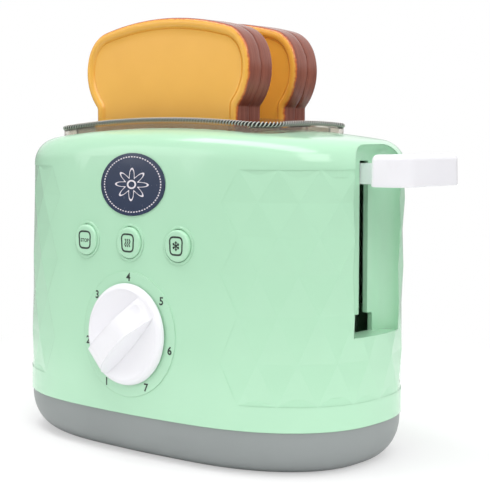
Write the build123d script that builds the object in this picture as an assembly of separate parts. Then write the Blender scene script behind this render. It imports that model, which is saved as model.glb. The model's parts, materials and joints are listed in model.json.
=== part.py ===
from build123d import *
from math import cos, hypot, pi, radians, sin
import os

# Toy pop-up toaster. Millimetres, +Z up, X along the body with the lever at +X, front panel at -Y.
# The origin is on the table under the middle of the body.

# Driving dimensions of the body
BODY_HALF_LENGTH = 88.0
BODY_HALF_DEPTH = 50.6
BASE_BOTTOM_Z = 0.0
SEAM_Z = 17.8
CROWN_Z = 133.8
CROWN_RADIUS_LENGTHWISE = 520.0
CROWN_RADIUS_CROSSWISE = 300.0
SHOULDER_RADIUS = 11.0
INNER_SHOULDER_RADIUS = 8.6
CAVITY_BOTTOM_Z = 9.2
LOFT_LEVELS = [50.0, 80.0, 105.0, 125.0, 145.0]
WALL = 2.2
SIDE_WALL = 3.2

# Plan outline: a rounded superellipse with two gentle corrections
PLAN_EXPONENT = 2.286
PLAN_WAVE_4 = -0.037
PLAN_WAVE_6 = -0.022
PLAN_POINTS = 48

# How far the walls lean in at LEAN_Z; the ends flare out a little
LEAN_Z = 109.9
LEAN_POWER = 1.3
LEAN_FRONT = 4.5
LEAN_BACK = 1.0
LEAN_ENDS = -1.0

# Base tray: how its underside curves in, and the lip that locates the shell
BASE_INSET = 0.5
BASE_WALL = 2.4
BASE_ROUND_HEIGHT = 16.0
BASE_ROUND_REACH = 11.4
BASE_ROUND_STEPS = 4
LIP_ROOT_INSET = 1.2
LIP_INNER_INSET = 5.0
LIP_ROOT_Z = 13.7
LIP_TOP_Z = 20.8
LIP_GAP = 0.15

# Diamond facets: rows of vertices from top to bottom, and the spacing along the outline
FACET_ROWS = [116.5, 104.2, 91.3, 77.2, 61.5, 43.6, 27.5]
FACET_PITCH = 15.47
FACET_COLUMNS = 4
FACET_SINK = 0.03
FACET_REACH = 6.0
LEDGE_HEIGHT = 3.0
LEDGE_INSET = 0.5
LEDGE_ROOT = 1.0
LEDGE_ROOT_INSET = 0.1

# Lever recess in the +X end, and the slot in its back wall
RECESS_X = 79.7
RECESS_HALF_WIDTH = 15.3
RECESS_FLOOR_Z = 52.6
RECESS_TOP_Z = 126.1
RECESS_ARCH = 8.7
RECESS_CORNER = 6.0
SLOT_HALF_WIDTH = 3.0
SLOT_TOP_Z = 119.6
SLOT_BOTTOM_Z = 60.0
SLOT_FOOT_HALF_WIDTH = 6.7
SLOT_FOOT_CORNER = 1.3

# Bread slots, grille and wells
SLOT_CENTRE_X = -3.5
BREAD_PITCH_Y = 32.36
WELL_HALF_LENGTH = 47.2
WELL_HALF_WIDTH = 9.3
WELL_WALL = 1.5
WELL_BOTTOM_Z = 28.2
WELL_TOP_Z = 126.7
GRILLE_CENTRE_X = -4.0
GRILLE_HALF_LENGTH = 59.2
GRILLE_HALF_WIDTH = 30.0
GRILLE_CORNER = 12.0
GRILLE_RISE = 3.5
GRILLE_SKIN = 1.8
TOP_OPENING_HALF_LENGTH = 51.5
TOP_OPENING_HALF_WIDTH = 27.8
TOP_OPENING_CORNER = 6.0
WELL_CORNER = 1.0
SLIT_GAP = 0.8
SLIT_HEADROOM = 6.0

# Bread slices
BREAD_HALF_THICKNESS = 8.03
BREAD_BOTTOM_Z = 85.6
BREAD_SIDE = 39.1
BREAD_LOBE_RADIUS = 15.0
BREAD_LOBE_X = 29.8
BREAD_LOBE_Z = 158.5
BREAD_LOBE_TURN = 20.0
BREAD_LOWER_RADIUS = 22.0
BREAD_CROWN_Z = 177.3
BREAD_WALL = 1.6
BREAD_PANEL_DEPTH = 0.8
BREAD_PANEL_INSET = 4.0
BREAD_NECK_RADIUS = 1.5
BREAD_CORNER_RADIUS = 6.0
BREAD_EDGE = 1.2
FRONT_SLICE_SHIFT = 0.3
REAR_SLICE_SHIFT = -0.9

# Carriage, rods and lever
TRAVEL = 50.0
ROD_RADIUS = 2.0
RUNNING_GAP = 0.05
ROD_LEFT_X = -60.0
ROD_RIGHT_X = 54.0
ROD_FOOT_Z = 4.2
ROD_SEAT_Z = 9.2
ROD_TOP_Z = 123.2
ROD_SOCKET_BOTTOM_Z = 116.2
ROD_SOCKET_RADIUS = 4.5
HUB_RADIUS = 5.0
HUB_BOTTOM_Z = 77.2
HUB_TOP_Z = 91.2
SPINE_HALF_WIDTH = 2.2
SPINE_BOTTOM_Z = 79.2
SPINE_TOP_Z = 89.2
FORK_X = 64.0
FORK_ROOT = 5.0
FORK_TIP_X = 70.0
FORK_WALL = 2.0
FORK_SCREW_X = 67.0
FORK_SCREW_Z = 85.2
CATCH_X = 64.0
CATCH_TIP_X = 68.0
CATCH_REACH = 9.0
CATCH_HEIGHT = 4.0
SPRING_RADIUS = 3.6
SPRING_WIRE = 0.9
SPRING_TURNS = 10
CRADLE_HALF_LENGTH = 40.0
CRADLE_THICKNESS = 2.0
CRADLE_HALF_WIDTH = 7.0
CRADLE_TAB_X = [-33.5, 26.5]
CRADLE_TAB_WIDTH = 8.0
CRADLE_TAB_HEIGHT = 4.4
ARM_HALF_WIDTH = 2.5
ARM_BOTTOM_Z = 110.6
ARM_TOP_Z = 118.7
RISER_X = 64.0
RISER_LENGTH = 8.0
HANDLE_BACK_X = 96.3
HANDLE_FRONT_X = 111.5
HANDLE_HALF_WIDTH = 22.5
HANDLE_CORNER = 8.0
HANDLE_BACK_CORNER = 3.0
HANDLE_BOTTOM_Z = 110.4
HANDLE_TOP_Z = 122.3
HANDLE_TOP_EDGE = 2.2
HANDLE_BOTTOM_EDGE = 0.6
HANDLE_DRAFT = 1.5
HANDLE_SOCKET_DEPTH = 9.0

# Latch on the base: the hook, its pin and the ears that hold the pin
LATCH_PIVOT_X = 72.5
LATCH_PIVOT_Z = 24.2
LATCH_TOP_Z = 38.2
LATCH_NOSE_X = 69.0
LATCH_NOSE_Z = 34.8
LATCH_HOOK_Y = -7.0
LATCH_HOOK_HALF_WIDTH = 1.5
LATCH_STEM_HALF = 1.5
LATCH_EYE_RADIUS = 3.2
LATCH_PIN_RADIUS = 1.5
LATCH_PIN_FRONT_Y = -11.0
LATCH_PIN_BACK_Y = -3.0
LATCH_EAR_Y = [-10.0, -4.0]
LATCH_EAR_THICKNESS = 2.0
LATCH_EAR_HALF = 3.0
LATCH_EAR_TOP_Z = 27.7

# Front panel: dial, buttons and badge
DIAL_Z = 50.1
DIAL_TILT = 2.7
DIAL_PIVOT_Y = -49.45
DIAL_PAD_RADIUS = 25.1
DIAL_PAD_PROUD = 0.4
SHAFT_RADIUS = 3.0
SHAFT_HOLE_RADIUS = 3.6
KNOB_RADIUS = 20.45
KNOB_BACK_Y = -50.15
KNOB_THICKNESS = 2.4
KNOB_EDGE = 2.2
KNOB_REST_ANGLE = 46.0
KNOB_DISH_RADIUS = 18.0
KNOB_DISH_DEPTH = 1.3
KNOB_GRIP_RADIUS = 18.2
# Half width of the grip's foot at its pointing end and at its heel, and how its sides lean in
KNOB_GRIP_HALF_WIDTHS = [6.2, 7.0]
KNOB_GRIP_DRAFT = 13.0
# The grip's top along its length, from the heel to the pointing end: (place, height over the back)
KNOB_GRIP_TOP = [(-18.3, 2.3), (-17.0, 5.0), (-13.0, 7.0), (-8.0, 7.7), (-3.5, 8.0),
                 (1.5, 8.0), (5.5, 7.3), (9.0, 5.5), (18.3, 2.1)]
KNOB_DIMPLE_PLACE = (-0.7, 13.0)
KNOB_DIMPLE_SPHERE = 10.0
KNOB_DIMPLE_DEPTH = 0.6
KNOB_SOCKET_DEPTH = 4.0
TIMER_HALF_SIZE = 17.0
TIMER_WALL = 1.6
TIMER_FRONT_Y = -44.4
TIMER_COVER_Y = -32.0
TIMER_EAR_Y = -41.0
TIMER_POST_X = [-20.0, 20.0]
EAR_THICKNESS = 1.8
POST_RADIUS = 3.0
CLICK_WHEEL_Y = -39.0
CLICK_WHEEL_WIDTH = 3.0
CLICK_WHEEL_RADIUS = 10.0
CLICK_TEETH = 24
CLICK_NOTCH_RADIUS = 0.8
CLICK_NOSE_RADIUS = 0.8
CLICK_SPRING_GAP = 0.3
CLICK_SPRING_TIP = 3.0
LEAF_THICKNESS = 0.5
BUTTON_PITCH = 25.16
BUTTON_Z = 86.7
BUTTON_RADIUS = 6.3
BUTTON_GAP = 0.2
BUTTON_RING_RADIUS = 7.5
BUTTON_RING_PROUD = 0.35
BUTTON_PROUD = 1.5
BUTTON_EDGE = 0.9
FLANGE_CLEARANCE = 1.0
FLANGE_THICKNESS = 1.2
FLANGE_RADIUS = 8.3
STEM_RADIUS = 1.6
STEM_END_Y = -33.0
BUTTON_SPRING_RADIUS = 2.5
BUTTON_SPRING_WIRE = 0.4
BUTTON_SPRING_TURNS = 4
CARRIER_Y = -38.0
CARRIER_THICKNESS = 1.8
CARRIER_HALF_LENGTH = 34.0
CARRIER_HALF_HEIGHT = 7.0
CARRIER_POST_X = [-12.58, 12.58]
BUTTON_NAMES = ["stop", "warm", "frost"]
BADGE_Z = 109.9
BADGE_HALF_WIDTH = 17.57
BADGE_HALF_HEIGHT = 12.5
BADGE_THICKNESS = 0.4

# Fasteners and feet
SCREW_PLACES = [(58.0, 22.0), (-58.0, 22.0), (58.0, -22.0), (-58.0, -22.0)]
SCREW_RADIUS = 1.5
SCREW_HEAD_RADIUS = 3.0
SCREW_HEAD_HEIGHT = 2.2
SCREW_SEAT_Z = 8.2
SCREW_LENGTH = 16.0
SCREW_CLEARANCE = 0.4
CROSS_LENGTH = 1.8
CROSS_WIDTH = 0.4
CROSS_DEPTH = 1.0
SMALL_SCREW_RADIUS = 1.1
SMALL_SCREW_BITE = 2.5
SMALL_HEAD_RADIUS = 2.2
SMALL_HEAD_HEIGHT = 1.4
BOSS_RADIUS = 4.5
COLUMN_RADIUS = 4.0
COLUMN_BOTTOM_Z = 17.8
COLUMN_TOP_Z = 59.2
RIB_HALF_WIDTH = 0.8
RIB_BOTTOM_Z = 22.2
POST_ROOT_INSET = 2.0
FOOT_PLACES = [(40.0, 27.0), (-40.0, 27.0), (40.0, -27.0), (-40.0, -27.0)]
FOOT_RADIUS = 6.0
FOOT_HEIGHT = 1.0

FAR = 200.0


# ---------------------------------------------------------------- the body's own geometry
def plan_radius(angle, half_length, half_depth):
    """Distance from the body's axis to its outline in one direction."""
    along = abs(cos(angle) / half_length) ** PLAN_EXPONENT
    across = abs(sin(angle) / half_depth) ** PLAN_EXPONENT
    wave_4 = PLAN_WAVE_4 * (cos(4 * angle) - 1) / 2
    wave_6 = PLAN_WAVE_6 * (cos(6 * angle) - cos(2 * angle)) / 2
    return (along + across) ** (-1 / PLAN_EXPONENT) * (1 + wave_4 + wave_6)


def lean(z):
    """Share of the full lean that the walls have at one height."""
    return max(0.0, (z - SEAM_Z) / (LEAN_Z - SEAM_Z)) ** LEAN_POWER


def wall_point(angle, z, inset=0.0):
    """A point of the side wall, moved inwards by inset."""
    share = lean(z)
    half_length = BODY_HALF_LENGTH - LEAN_ENDS * share - inset
    half_depth = BODY_HALF_DEPTH - (LEAN_FRONT + LEAN_BACK) / 2 * share - inset
    shift = (LEAN_FRONT - LEAN_BACK) / 2 * share
    radius = plan_radius(angle, half_length, half_depth)
    return (radius * cos(angle), shift + radius * sin(angle), z)


def section(z, inset=0.0):
    """The closed outline of the side wall at one height, as a face."""
    points = [wall_point(2 * pi * k / PLAN_POINTS, z, inset) for k in range(PLAN_POINTS)]
    return Face(Wire(Spline(*points, periodic=True)))


def front_wall_y(x, z, inset=0.0):
    """Where the front wall stands at one x and z."""
    low, high = pi, 2 * pi
    for _ in range(40):
        middle = (low + high) / 2
        if wall_point(middle, z, inset)[0] < x:
            low = middle
        else:
            high = middle
    return wall_point(low, z, inset)[1]


def crown(raise_by=0.0):
    """Everything under the gently domed top surface."""
    top = CROWN_Z + raise_by
    axis_z = CROWN_Z - CROWN_RADIUS_LENGTHWISE
    half = 80.0
    drop = half ** 2 / (2 * CROWN_RADIUS_CROSSWISE)
    floor = -40.0
    profile = Polyline((0, half, top - drop), (0, half, floor), (0, -half, floor), (0, -half, top - drop))
    arc = ThreePointArc((0, -half, top - drop), (0, 0, top), (0, half, top - drop))
    face = Face(Wire([*profile.edges(), arc]))
    swing = 13.0
    solid = revolve(face, axis=Axis((0, 0, axis_z), (0, 1, 0)), revolution_arc=2 * swing)
    return Pos(0, 0, axis_z) * Rot(0, -swing, 0) * Pos(0, 0, -axis_z) * solid


def smooth_body(inset=0.0, drop=0.0, shoulder=SHOULDER_RADIUS, bottom=SEAM_Z):
    """The body without facets: leaning walls, domed top and a round shoulder."""
    walls = loft([section(z, inset) for z in [bottom, *LOFT_LEVELS]])
    body = walls & crown(-drop)
    shoulder_edges = body.edges().filter_by(lambda e: e.center().Z > LEAN_Z)
    return fillet(shoulder_edges, shoulder)


def angle_at(arc_length):
    """Polar angle of the outline point that lies this far along it from the +X end."""
    steps = 1440
    turn = -2 * pi / steps
    travelled, angle = 0.0, 0.0
    here = wall_point(angle, SEAM_Z)
    while travelled < arc_length:
        angle += turn
        there = wall_point(angle, SEAM_Z)
        travelled += hypot(there[0] - here[0], there[1] - here[1])
        here = there
    return angle


def facet_row(index, inset):
    """The vertices of one facet row, from the front side of the +X end round to the back."""
    offset = 0.5 * (index % 2)
    count = FACET_COLUMNS + offset
    steps = [(-count + k) * FACET_PITCH for k in range(int(2 * count) + 1)]
    points = []
    for step in steps:
        angle = angle_at(abs(step)) * (-1 if step > 0 else 1)
        points.append(wall_point(angle, FACET_ROWS[index], inset))
    return points


def triangles_between(upper, lower):
    """The triangles that join two rows whose lengths differ by one."""
    longer, shorter = (upper, lower) if len(upper) > len(lower) else (lower, upper)
    result = [(longer[k], longer[k + 1], shorter[k]) for k in range(len(shorter))]
    result += [(shorter[k], shorter[k + 1], longer[k + 1]) for k in range(len(shorter) - 1)]
    return result


def facet_cutter():
    """What is shaved off the +X end: from flat triangles just inside the wall outwards."""
    inner = [facet_row(k, FACET_SINK) for k in range(len(FACET_ROWS))]
    outer = [facet_row(k, -FACET_REACH) for k in range(len(FACET_ROWS))]
    patches = []
    for rows in (inner, outer):
        for upper, lower in zip(rows, rows[1:]):
            patches += triangles_between(upper, lower)
    for edge in (0, -1):
        patches.append((*inner[edge], *reversed(outer[edge])))
    for side in (0, -1):
        for k in range(len(FACET_ROWS) - 1):
            patches.append((inner[k][side], inner[k + 1][side], outer[k][side]))
            patches.append((inner[k + 1][side], outer[k + 1][side], outer[k][side]))
    return Solid(Shell([Face(Wire.make_polygon(patch)) for patch in patches]))


def facet_ledges():
    """Discs inside the walls at the facets' upper and lower border, whose slanting rims show as small ledges."""
    top, bottom = FACET_ROWS[0], FACET_ROWS[-1]
    upper = loft([section(top - LEDGE_HEIGHT, LEDGE_INSET), section(top + LEDGE_ROOT, LEDGE_ROOT_INSET)])
    lower = loft([section(bottom - LEDGE_ROOT, LEDGE_ROOT_INSET), section(bottom + LEDGE_HEIGHT, LEDGE_INSET)])
    return upper, lower


# ---------------------------------------------------------------- small helpers
def block(x, y, z):
    """A box given by its (low, high) span along each axis."""
    spans = (x, y, z)
    size = [high - low for low, high in spans]
    middle = [(high + low) / 2 for low, high in spans]
    return Pos(*middle) * Box(*size)


def upright(x, y, low, high, radius):
    """A vertical cylinder between two heights."""
    return Pos(x, y, (low + high) / 2) * Cylinder(radius, high - low)


def facing(x, z, front, back, radius):
    """A cylinder along Y between two depths."""
    return Pos(x, (front + back) / 2, z) * Rot(90, 0, 0) * Cylinder(radius, back - front)


def rounded_prism(centre_x, centre_y, half_length, half_width, corner, low, high):
    """A vertical prism with a rounded rectangle as its plan."""
    plan = Pos(centre_x, centre_y, low) * RectangleRounded(2 * half_length, 2 * half_width, corner)
    return extrude(plan, high - low)


def coil(radius, wire, pitch, height):
    """A helical spring standing on z=0."""
    path = Helix(pitch=pitch, height=height - wire, radius=radius)
    start = path @ 0
    profile = Plane(origin=start, z_dir=path % 0) * Circle(wire / 2)
    return Pos(0, 0, wire / 2) * sweep(profile, path=path, is_frenet=True)


def save(shape, name):
    """Writes one node."""
    shape.label = name
    export_step(shape, f"parts/{name}.step")
    print(f"{name:28s} {shape.volume / 1000:9.2f} cm3  {len(shape.solids())} solid(s)")


def along_y(sketch, front, back):
    """Extrudes a sketch drawn in X and Z between two depths."""
    return extrude(Plane.XZ.offset(-front) * sketch, front - back)


def on_dial(shape):
    """Leans a piece of the dial back with the wall that carries it."""
    pivot = Pos(0, DIAL_PIVOT_Y, DIAL_Z)
    return pivot * Rot(-DIAL_TILT, 0, 0) * pivot.inverse() * shape


# ---------------------------------------------------------------- casing
def lever_recess():
    """The pocket in the +X end that the lever runs in, arched at the top and round along its back corners."""
    pocket = block((RECESS_X, FAR), (-RECESS_HALF_WIDTH, RECESS_HALF_WIDTH), (RECESS_FLOOR_Z, RECESS_TOP_Z))
    pocket = fillet(pocket.edges().filter_by(Axis.X).group_by(Axis.Z)[-1], RECESS_ARCH)
    back_outline = pocket.faces().sort_by(Axis.X)[0].edges().sort_by(Axis.Z)
    return fillet(back_outline[1:], RECESS_CORNER)


def lever_slot():
    """The slot through the recess's back wall, wider at its foot to pass the lever's inner end."""
    wall = (RECESS_X - 2 * WALL, RECESS_X + 1)
    narrow = block(wall, (-SLOT_HALF_WIDTH, SLOT_HALF_WIDTH), (SLOT_BOTTOM_Z, SLOT_TOP_Z))
    foot = block(wall, (-SLOT_FOOT_HALF_WIDTH, SLOT_FOOT_HALF_WIDTH), (RECESS_FLOOR_Z, SLOT_BOTTOM_Z))
    upper_corners = foot.edges().filter_by(Axis.X).group_by(Axis.Z)[-1]
    return narrow + fillet(upper_corners, SLOT_FOOT_CORNER)


def button_places():
    """Centre x of each button and y of the wall there, from left to right."""
    centres = [(k - 1) * BUTTON_PITCH for k in range(len(BUTTON_NAMES))]
    return [(x, front_wall_y(x, BUTTON_Z)) for x in centres]


def shell_posts():
    """Posts inside the shell: screw columns, rod sockets, and stand-offs for timer and button carrier."""
    posts = []
    for x, y in SCREW_PLACES:
        outward = FAR if y > 0 else -FAR
        posts.append(upright(x, y, COLUMN_BOTTOM_Z, COLUMN_TOP_Z, COLUMN_RADIUS))
        rib = (x - RIB_HALF_WIDTH, x + RIB_HALF_WIDTH)
        posts.append(block(rib, sorted((y, outward)), (RIB_BOTTOM_Z, COLUMN_TOP_Z)))
    for x in (ROD_LEFT_X, ROD_RIGHT_X):
        posts.append(upright(x, 0, ROD_SOCKET_BOTTOM_Z, CROWN_Z, ROD_SOCKET_RADIUS))
    for x in TIMER_POST_X:
        posts.append(on_dial(facing(x, DIAL_Z, -BODY_HALF_DEPTH, TIMER_EAR_Y, POST_RADIUS)))
    for x in CARRIER_POST_X:
        posts.append(facing(x, BUTTON_Z, -BODY_HALF_DEPTH, CARRIER_Y, POST_RADIUS))
    return posts


def post_holes():
    """Pilot holes in the shell's posts."""
    holes = [upright(x, y, COLUMN_BOTTOM_Z, SCREW_SEAT_Z + SCREW_LENGTH, SCREW_RADIUS) for x, y in SCREW_PLACES]
    holes += [upright(x, 0, ROD_SOCKET_BOTTOM_Z, ROD_TOP_Z, ROD_RADIUS) for x in (ROD_LEFT_X, ROD_RIGHT_X)]
    for x in TIMER_POST_X:
        bite = (TIMER_EAR_Y - SMALL_SCREW_BITE, TIMER_EAR_Y)
        holes.append(on_dial(facing(x, DIAL_Z, *bite, SMALL_SCREW_RADIUS)))
    for x in CARRIER_POST_X:
        holes.append(facing(x, BUTTON_Z, CARRIER_Y - SMALL_SCREW_BITE, CARRIER_Y, SMALL_SCREW_RADIUS))
    return holes


def outer_shell(body):
    """The mint casing: faceted ends, dial pad, button rings, lever recess and the hollow inside."""
    cutter = facet_cutter()
    shell = body - cutter - mirror(cutter, about=Plane.YZ)
    for ledge in facet_ledges():
        shell += ledge
    shell += Pos(0, -DIAL_PAD_PROUD, 0) * body & facing(0, DIAL_Z, -FAR, 0, DIAL_PAD_RADIUS)
    for x, _ in button_places():
        shell += Pos(0, -BUTTON_RING_PROUD, 0) * body & facing(x, BUTTON_Z, -FAR, 0, BUTTON_RING_RADIUS)
    cavity = smooth_body(SIDE_WALL, WALL, INNER_SHOULDER_RADIUS, CAVITY_BOTTOM_Z)
    behind_recess = RECESS_HALF_WIDTH + WALL
    cavity -= block((RECESS_X - WALL, FAR), (-behind_recess, behind_recess), (RECESS_FLOOR_Z - WALL, FAR))
    shell -= cavity
    reach = smooth_body(POST_ROOT_INSET, WALL / 2, INNER_SHOULDER_RADIUS, CAVITY_BOTTOM_Z)
    for post in shell_posts():
        shell += post & reach
    shell -= lever_recess()
    shell -= lever_slot()
    opening = rounded_prism(SLOT_CENTRE_X, 0, TOP_OPENING_HALF_LENGTH, TOP_OPENING_HALF_WIDTH,
                            TOP_OPENING_CORNER, ROD_SOCKET_BOTTOM_Z, FAR)
    shell -= opening
    for x, wall_y in button_places():
        shell -= facing(x, BUTTON_Z, wall_y - SIDE_WALL, wall_y + 4 * SIDE_WALL, BUTTON_RADIUS + BUTTON_GAP)
    shell -= on_dial(facing(0, DIAL_Z, DIAL_PIVOT_Y - SIDE_WALL, DIAL_PIVOT_Y + 3 * SIDE_WALL, SHAFT_HOLE_RADIUS))
    for hole in post_holes():
        shell -= hole
    return shell


def bowl(inset, bottom, top):
    """A tray-shaped solid with the base's rounded underside."""
    turns = [radians(90 - 90 * k / BASE_ROUND_STEPS) for k in range(BASE_ROUND_STEPS + 1)]
    depth = BASE_ROUND_HEIGHT - (bottom - BASE_BOTTOM_Z)
    levels = [(bottom + depth * (1 - sin(q)), BASE_INSET + inset + BASE_ROUND_REACH * (1 - cos(q))) for q in turns]
    levels.append((top, BASE_INSET + inset))
    return loft([section(z, step) for z, step in levels])


def rim_ring(outer, inner, low, high):
    """A band that follows the body's outline between two heights."""
    band = section(low, outer) - section(low, inner)
    return extrude(band, high - low)


def base_tray():
    """The grey base: rounded underside, seam lip, screw bosses, rod seats and latch ears."""
    tray = bowl(0.0, BASE_BOTTOM_Z, SEAM_Z) - bowl(BASE_WALL, BASE_BOTTOM_Z + BASE_WALL, COLUMN_TOP_Z)
    tray += rim_ring(LIP_ROOT_INSET, LIP_INNER_INSET, LIP_ROOT_Z, SEAM_Z)
    tray += rim_ring(SIDE_WALL + LIP_GAP, LIP_INNER_INSET, SEAM_Z, LIP_TOP_Z)
    floor = BASE_BOTTOM_Z + BASE_WALL / 2
    for x, y in SCREW_PLACES:
        tray += upright(x, y, floor, COLUMN_BOTTOM_Z, BOSS_RADIUS)
    for x in (ROD_LEFT_X, ROD_RIGHT_X):
        tray += upright(x, 0, floor, ROD_SEAT_Z, HUB_RADIUS)
    for y in LATCH_EAR_Y:
        ear = block((LATCH_PIVOT_X - LATCH_EAR_HALF, LATCH_PIVOT_X + LATCH_EAR_HALF),
                    (y - LATCH_EAR_THICKNESS / 2, y + LATCH_EAR_THICKNESS / 2), (floor, LATCH_EAR_TOP_Z))
        tray += ear
    for x, y in SCREW_PLACES:
        tray -= upright(x, y, 0, SCREW_SEAT_Z, SCREW_HEAD_RADIUS + SCREW_CLEARANCE)
        tray -= upright(x, y, 0, SEAM_Z + 1, SCREW_RADIUS + SCREW_CLEARANCE / 2)
    for x in (ROD_LEFT_X, ROD_RIGHT_X):
        tray -= upright(x, 0, ROD_FOOT_Z, ROD_SEAT_Z + 1, ROD_RADIUS)
    for x, y in FOOT_PLACES:
        tray -= upright(x, y, 0, FOOT_HEIGHT, FOOT_RADIUS)
    tray -= facing(LATCH_PIVOT_X, LATCH_PIVOT_Z, LATCH_PIN_FRONT_Y, LATCH_PIN_BACK_Y, LATCH_PIN_RADIUS)
    return tray


def rubber_feet():
    """Four round feet pressed into the underside."""
    return Compound([upright(x, y, 0, FOOT_HEIGHT, FOOT_RADIUS) for x, y in FOOT_PLACES])


def base_screws():
    """Four screws driven up through the base into the shell's columns."""
    screws = []
    for x, y in SCREW_PLACES:
        head = upright(x, y, SCREW_SEAT_Z - SCREW_HEAD_HEIGHT, SCREW_SEAT_Z, SCREW_HEAD_RADIUS)
        shank = upright(x, y, SCREW_SEAT_Z, SCREW_SEAT_Z + SCREW_LENGTH, SCREW_RADIUS)
        slot_low = SCREW_SEAT_Z - SCREW_HEAD_HEIGHT
        cross = block((x - CROSS_LENGTH, x + CROSS_LENGTH), (y - CROSS_WIDTH, y + CROSS_WIDTH),
                      (slot_low, slot_low + CROSS_DEPTH))
        cross += block((x - CROSS_WIDTH, x + CROSS_WIDTH), (y - CROSS_LENGTH, y + CROSS_LENGTH),
                       (slot_low, slot_low + CROSS_DEPTH))
        screws.append(head + shank - cross)
    return Compound(screws)


def badge_plate(body):
    """The oval badge, a thin plate that follows the front wall."""
    oval = along_y(Pos(0, BADGE_Z) * Ellipse(BADGE_HALF_WIDTH, BADGE_HALF_HEIGHT), -FAR, 0)
    return (Pos(0, -BADGE_THICKNESS, 0) * body & oval) - body


# ---------------------------------------------------------------- top grille and bread wells
def slot_plan(y, grow, low, high):
    """A prism over one bread slot, grown sideways by grow."""
    return rounded_prism(SLOT_CENTRE_X, y, WELL_HALF_LENGTH + grow, WELL_HALF_WIDTH + grow,
                         WELL_CORNER + grow, low, high)


def top_grille():
    """The smoky cover around the two bread slots: a thin domed skin with a skirt and slot collars."""
    sides = (-BREAD_PITCH_Y / 2, BREAD_PITCH_Y / 2)
    outer = rounded_prism(GRILLE_CENTRE_X, 0, GRILLE_HALF_LENGTH, GRILLE_HALF_WIDTH, GRILLE_CORNER,
                          ROD_SOCKET_BOTTOM_Z, FAR)
    inner = rounded_prism(GRILLE_CENTRE_X, 0, GRILLE_HALF_LENGTH - GRILLE_SKIN, GRILLE_HALF_WIDTH - GRILLE_SKIN,
                          GRILLE_CORNER - GRILLE_SKIN, ROD_SOCKET_BOTTOM_Z, FAR)
    grille = (outer & crown(GRILLE_RISE)) - crown()
    grille -= inner & crown(GRILLE_RISE - GRILLE_SKIN)
    for y in sides:
        grille += slot_plan(y, WELL_WALL, WELL_TOP_Z, FAR) & crown(GRILLE_RISE)
    for y in sides:
        grille -= slot_plan(y, 0, ROD_SOCKET_BOTTOM_Z, FAR)
    return grille


def bread_well(side):
    """One upright well under a bread slot, slit on its inner side for the cradle's tabs."""
    y = side * BREAD_PITCH_Y / 2
    well = slot_plan(y, WELL_WALL, WELL_BOTTOM_Z, WELL_TOP_Z)
    well -= slot_plan(y, 0, WELL_BOTTOM_Z + WELL_WALL, FAR)
    for x in CRADLE_TAB_X:
        slit = CRADLE_TAB_WIDTH / 2 + SLIT_GAP
        well -= block((x - slit, x + slit), sorted((0, side * BREAD_PITCH_Y / 2)),
                      (WELL_BOTTOM_Z + WELL_WALL, BREAD_BOTTOM_Z + SLIT_HEADROOM))
    return well


# ---------------------------------------------------------------- carriage and lever
def guide_rod(x):
    """One steel rod that the carriage runs on."""
    return upright(x, 0, ROD_FOOT_Z, ROD_TOP_Z, ROD_RADIUS)


def carriage():
    """The sliding bar: two hubs on the rods, a spine between the wells and a fork for the lever."""
    spine = block((ROD_LEFT_X, FORK_X), (-SPINE_HALF_WIDTH, SPINE_HALF_WIDTH), (SPINE_BOTTOM_Z, SPINE_TOP_Z))
    bar = spine
    for x in (ROD_LEFT_X, ROD_RIGHT_X):
        bar += upright(x, 0, HUB_BOTTOM_Z, HUB_TOP_Z, HUB_RADIUS)
    fork_side = ARM_HALF_WIDTH + FORK_WALL
    bar += block((FORK_X - FORK_ROOT, FORK_TIP_X), (-fork_side, fork_side), (SPINE_BOTTOM_Z, SPINE_TOP_Z))
    bar += block((CATCH_X, CATCH_TIP_X), (-CATCH_REACH, 0), (SPINE_BOTTOM_Z, SPINE_BOTTOM_Z + CATCH_HEIGHT))
    bar -= block((RISER_X, FAR), (-ARM_HALF_WIDTH, ARM_HALF_WIDTH), (0, FAR))
    for x in (ROD_LEFT_X, ROD_RIGHT_X):
        bar -= upright(x, 0, 0, FAR, ROD_RADIUS + RUNNING_GAP)
    bar -= facing(FORK_SCREW_X, FORK_SCREW_Z, -fork_side, fork_side, SCREW_RADIUS)
    return bar


def bread_cradle(side):
    """The rack at the bottom of one well that a slice stands on."""
    y = side * BREAD_PITCH_Y / 2
    rack = block((SLOT_CENTRE_X - CRADLE_HALF_LENGTH, SLOT_CENTRE_X + CRADLE_HALF_LENGTH),
                 (y - CRADLE_HALF_WIDTH, y + CRADLE_HALF_WIDTH), (BREAD_BOTTOM_Z - CRADLE_THICKNESS, BREAD_BOTTOM_Z))
    for x in CRADLE_TAB_X:
        rack += block((x - CRADLE_TAB_WIDTH / 2, x + CRADLE_TAB_WIDTH / 2), sorted((side * SPINE_HALF_WIDTH, y)),
                      (BREAD_BOTTOM_Z - CRADLE_TAB_HEIGHT, BREAD_BOTTOM_Z))
    return rack


def lever_arm():
    """The upright riser held in the fork and the arm that leaves through the slot."""
    width = (-ARM_HALF_WIDTH, ARM_HALF_WIDTH)
    arm = block((RISER_X, RISER_X + RISER_LENGTH), width, (SPINE_BOTTOM_Z, ARM_TOP_Z))
    arm += block((RISER_X, HANDLE_BACK_X + HANDLE_SOCKET_DEPTH), width, (ARM_BOTTOM_Z, ARM_TOP_Z))
    arm -= facing(FORK_SCREW_X, FORK_SCREW_Z, -ARM_HALF_WIDTH, ARM_HALF_WIDTH, SCREW_RADIUS)
    return arm


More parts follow.
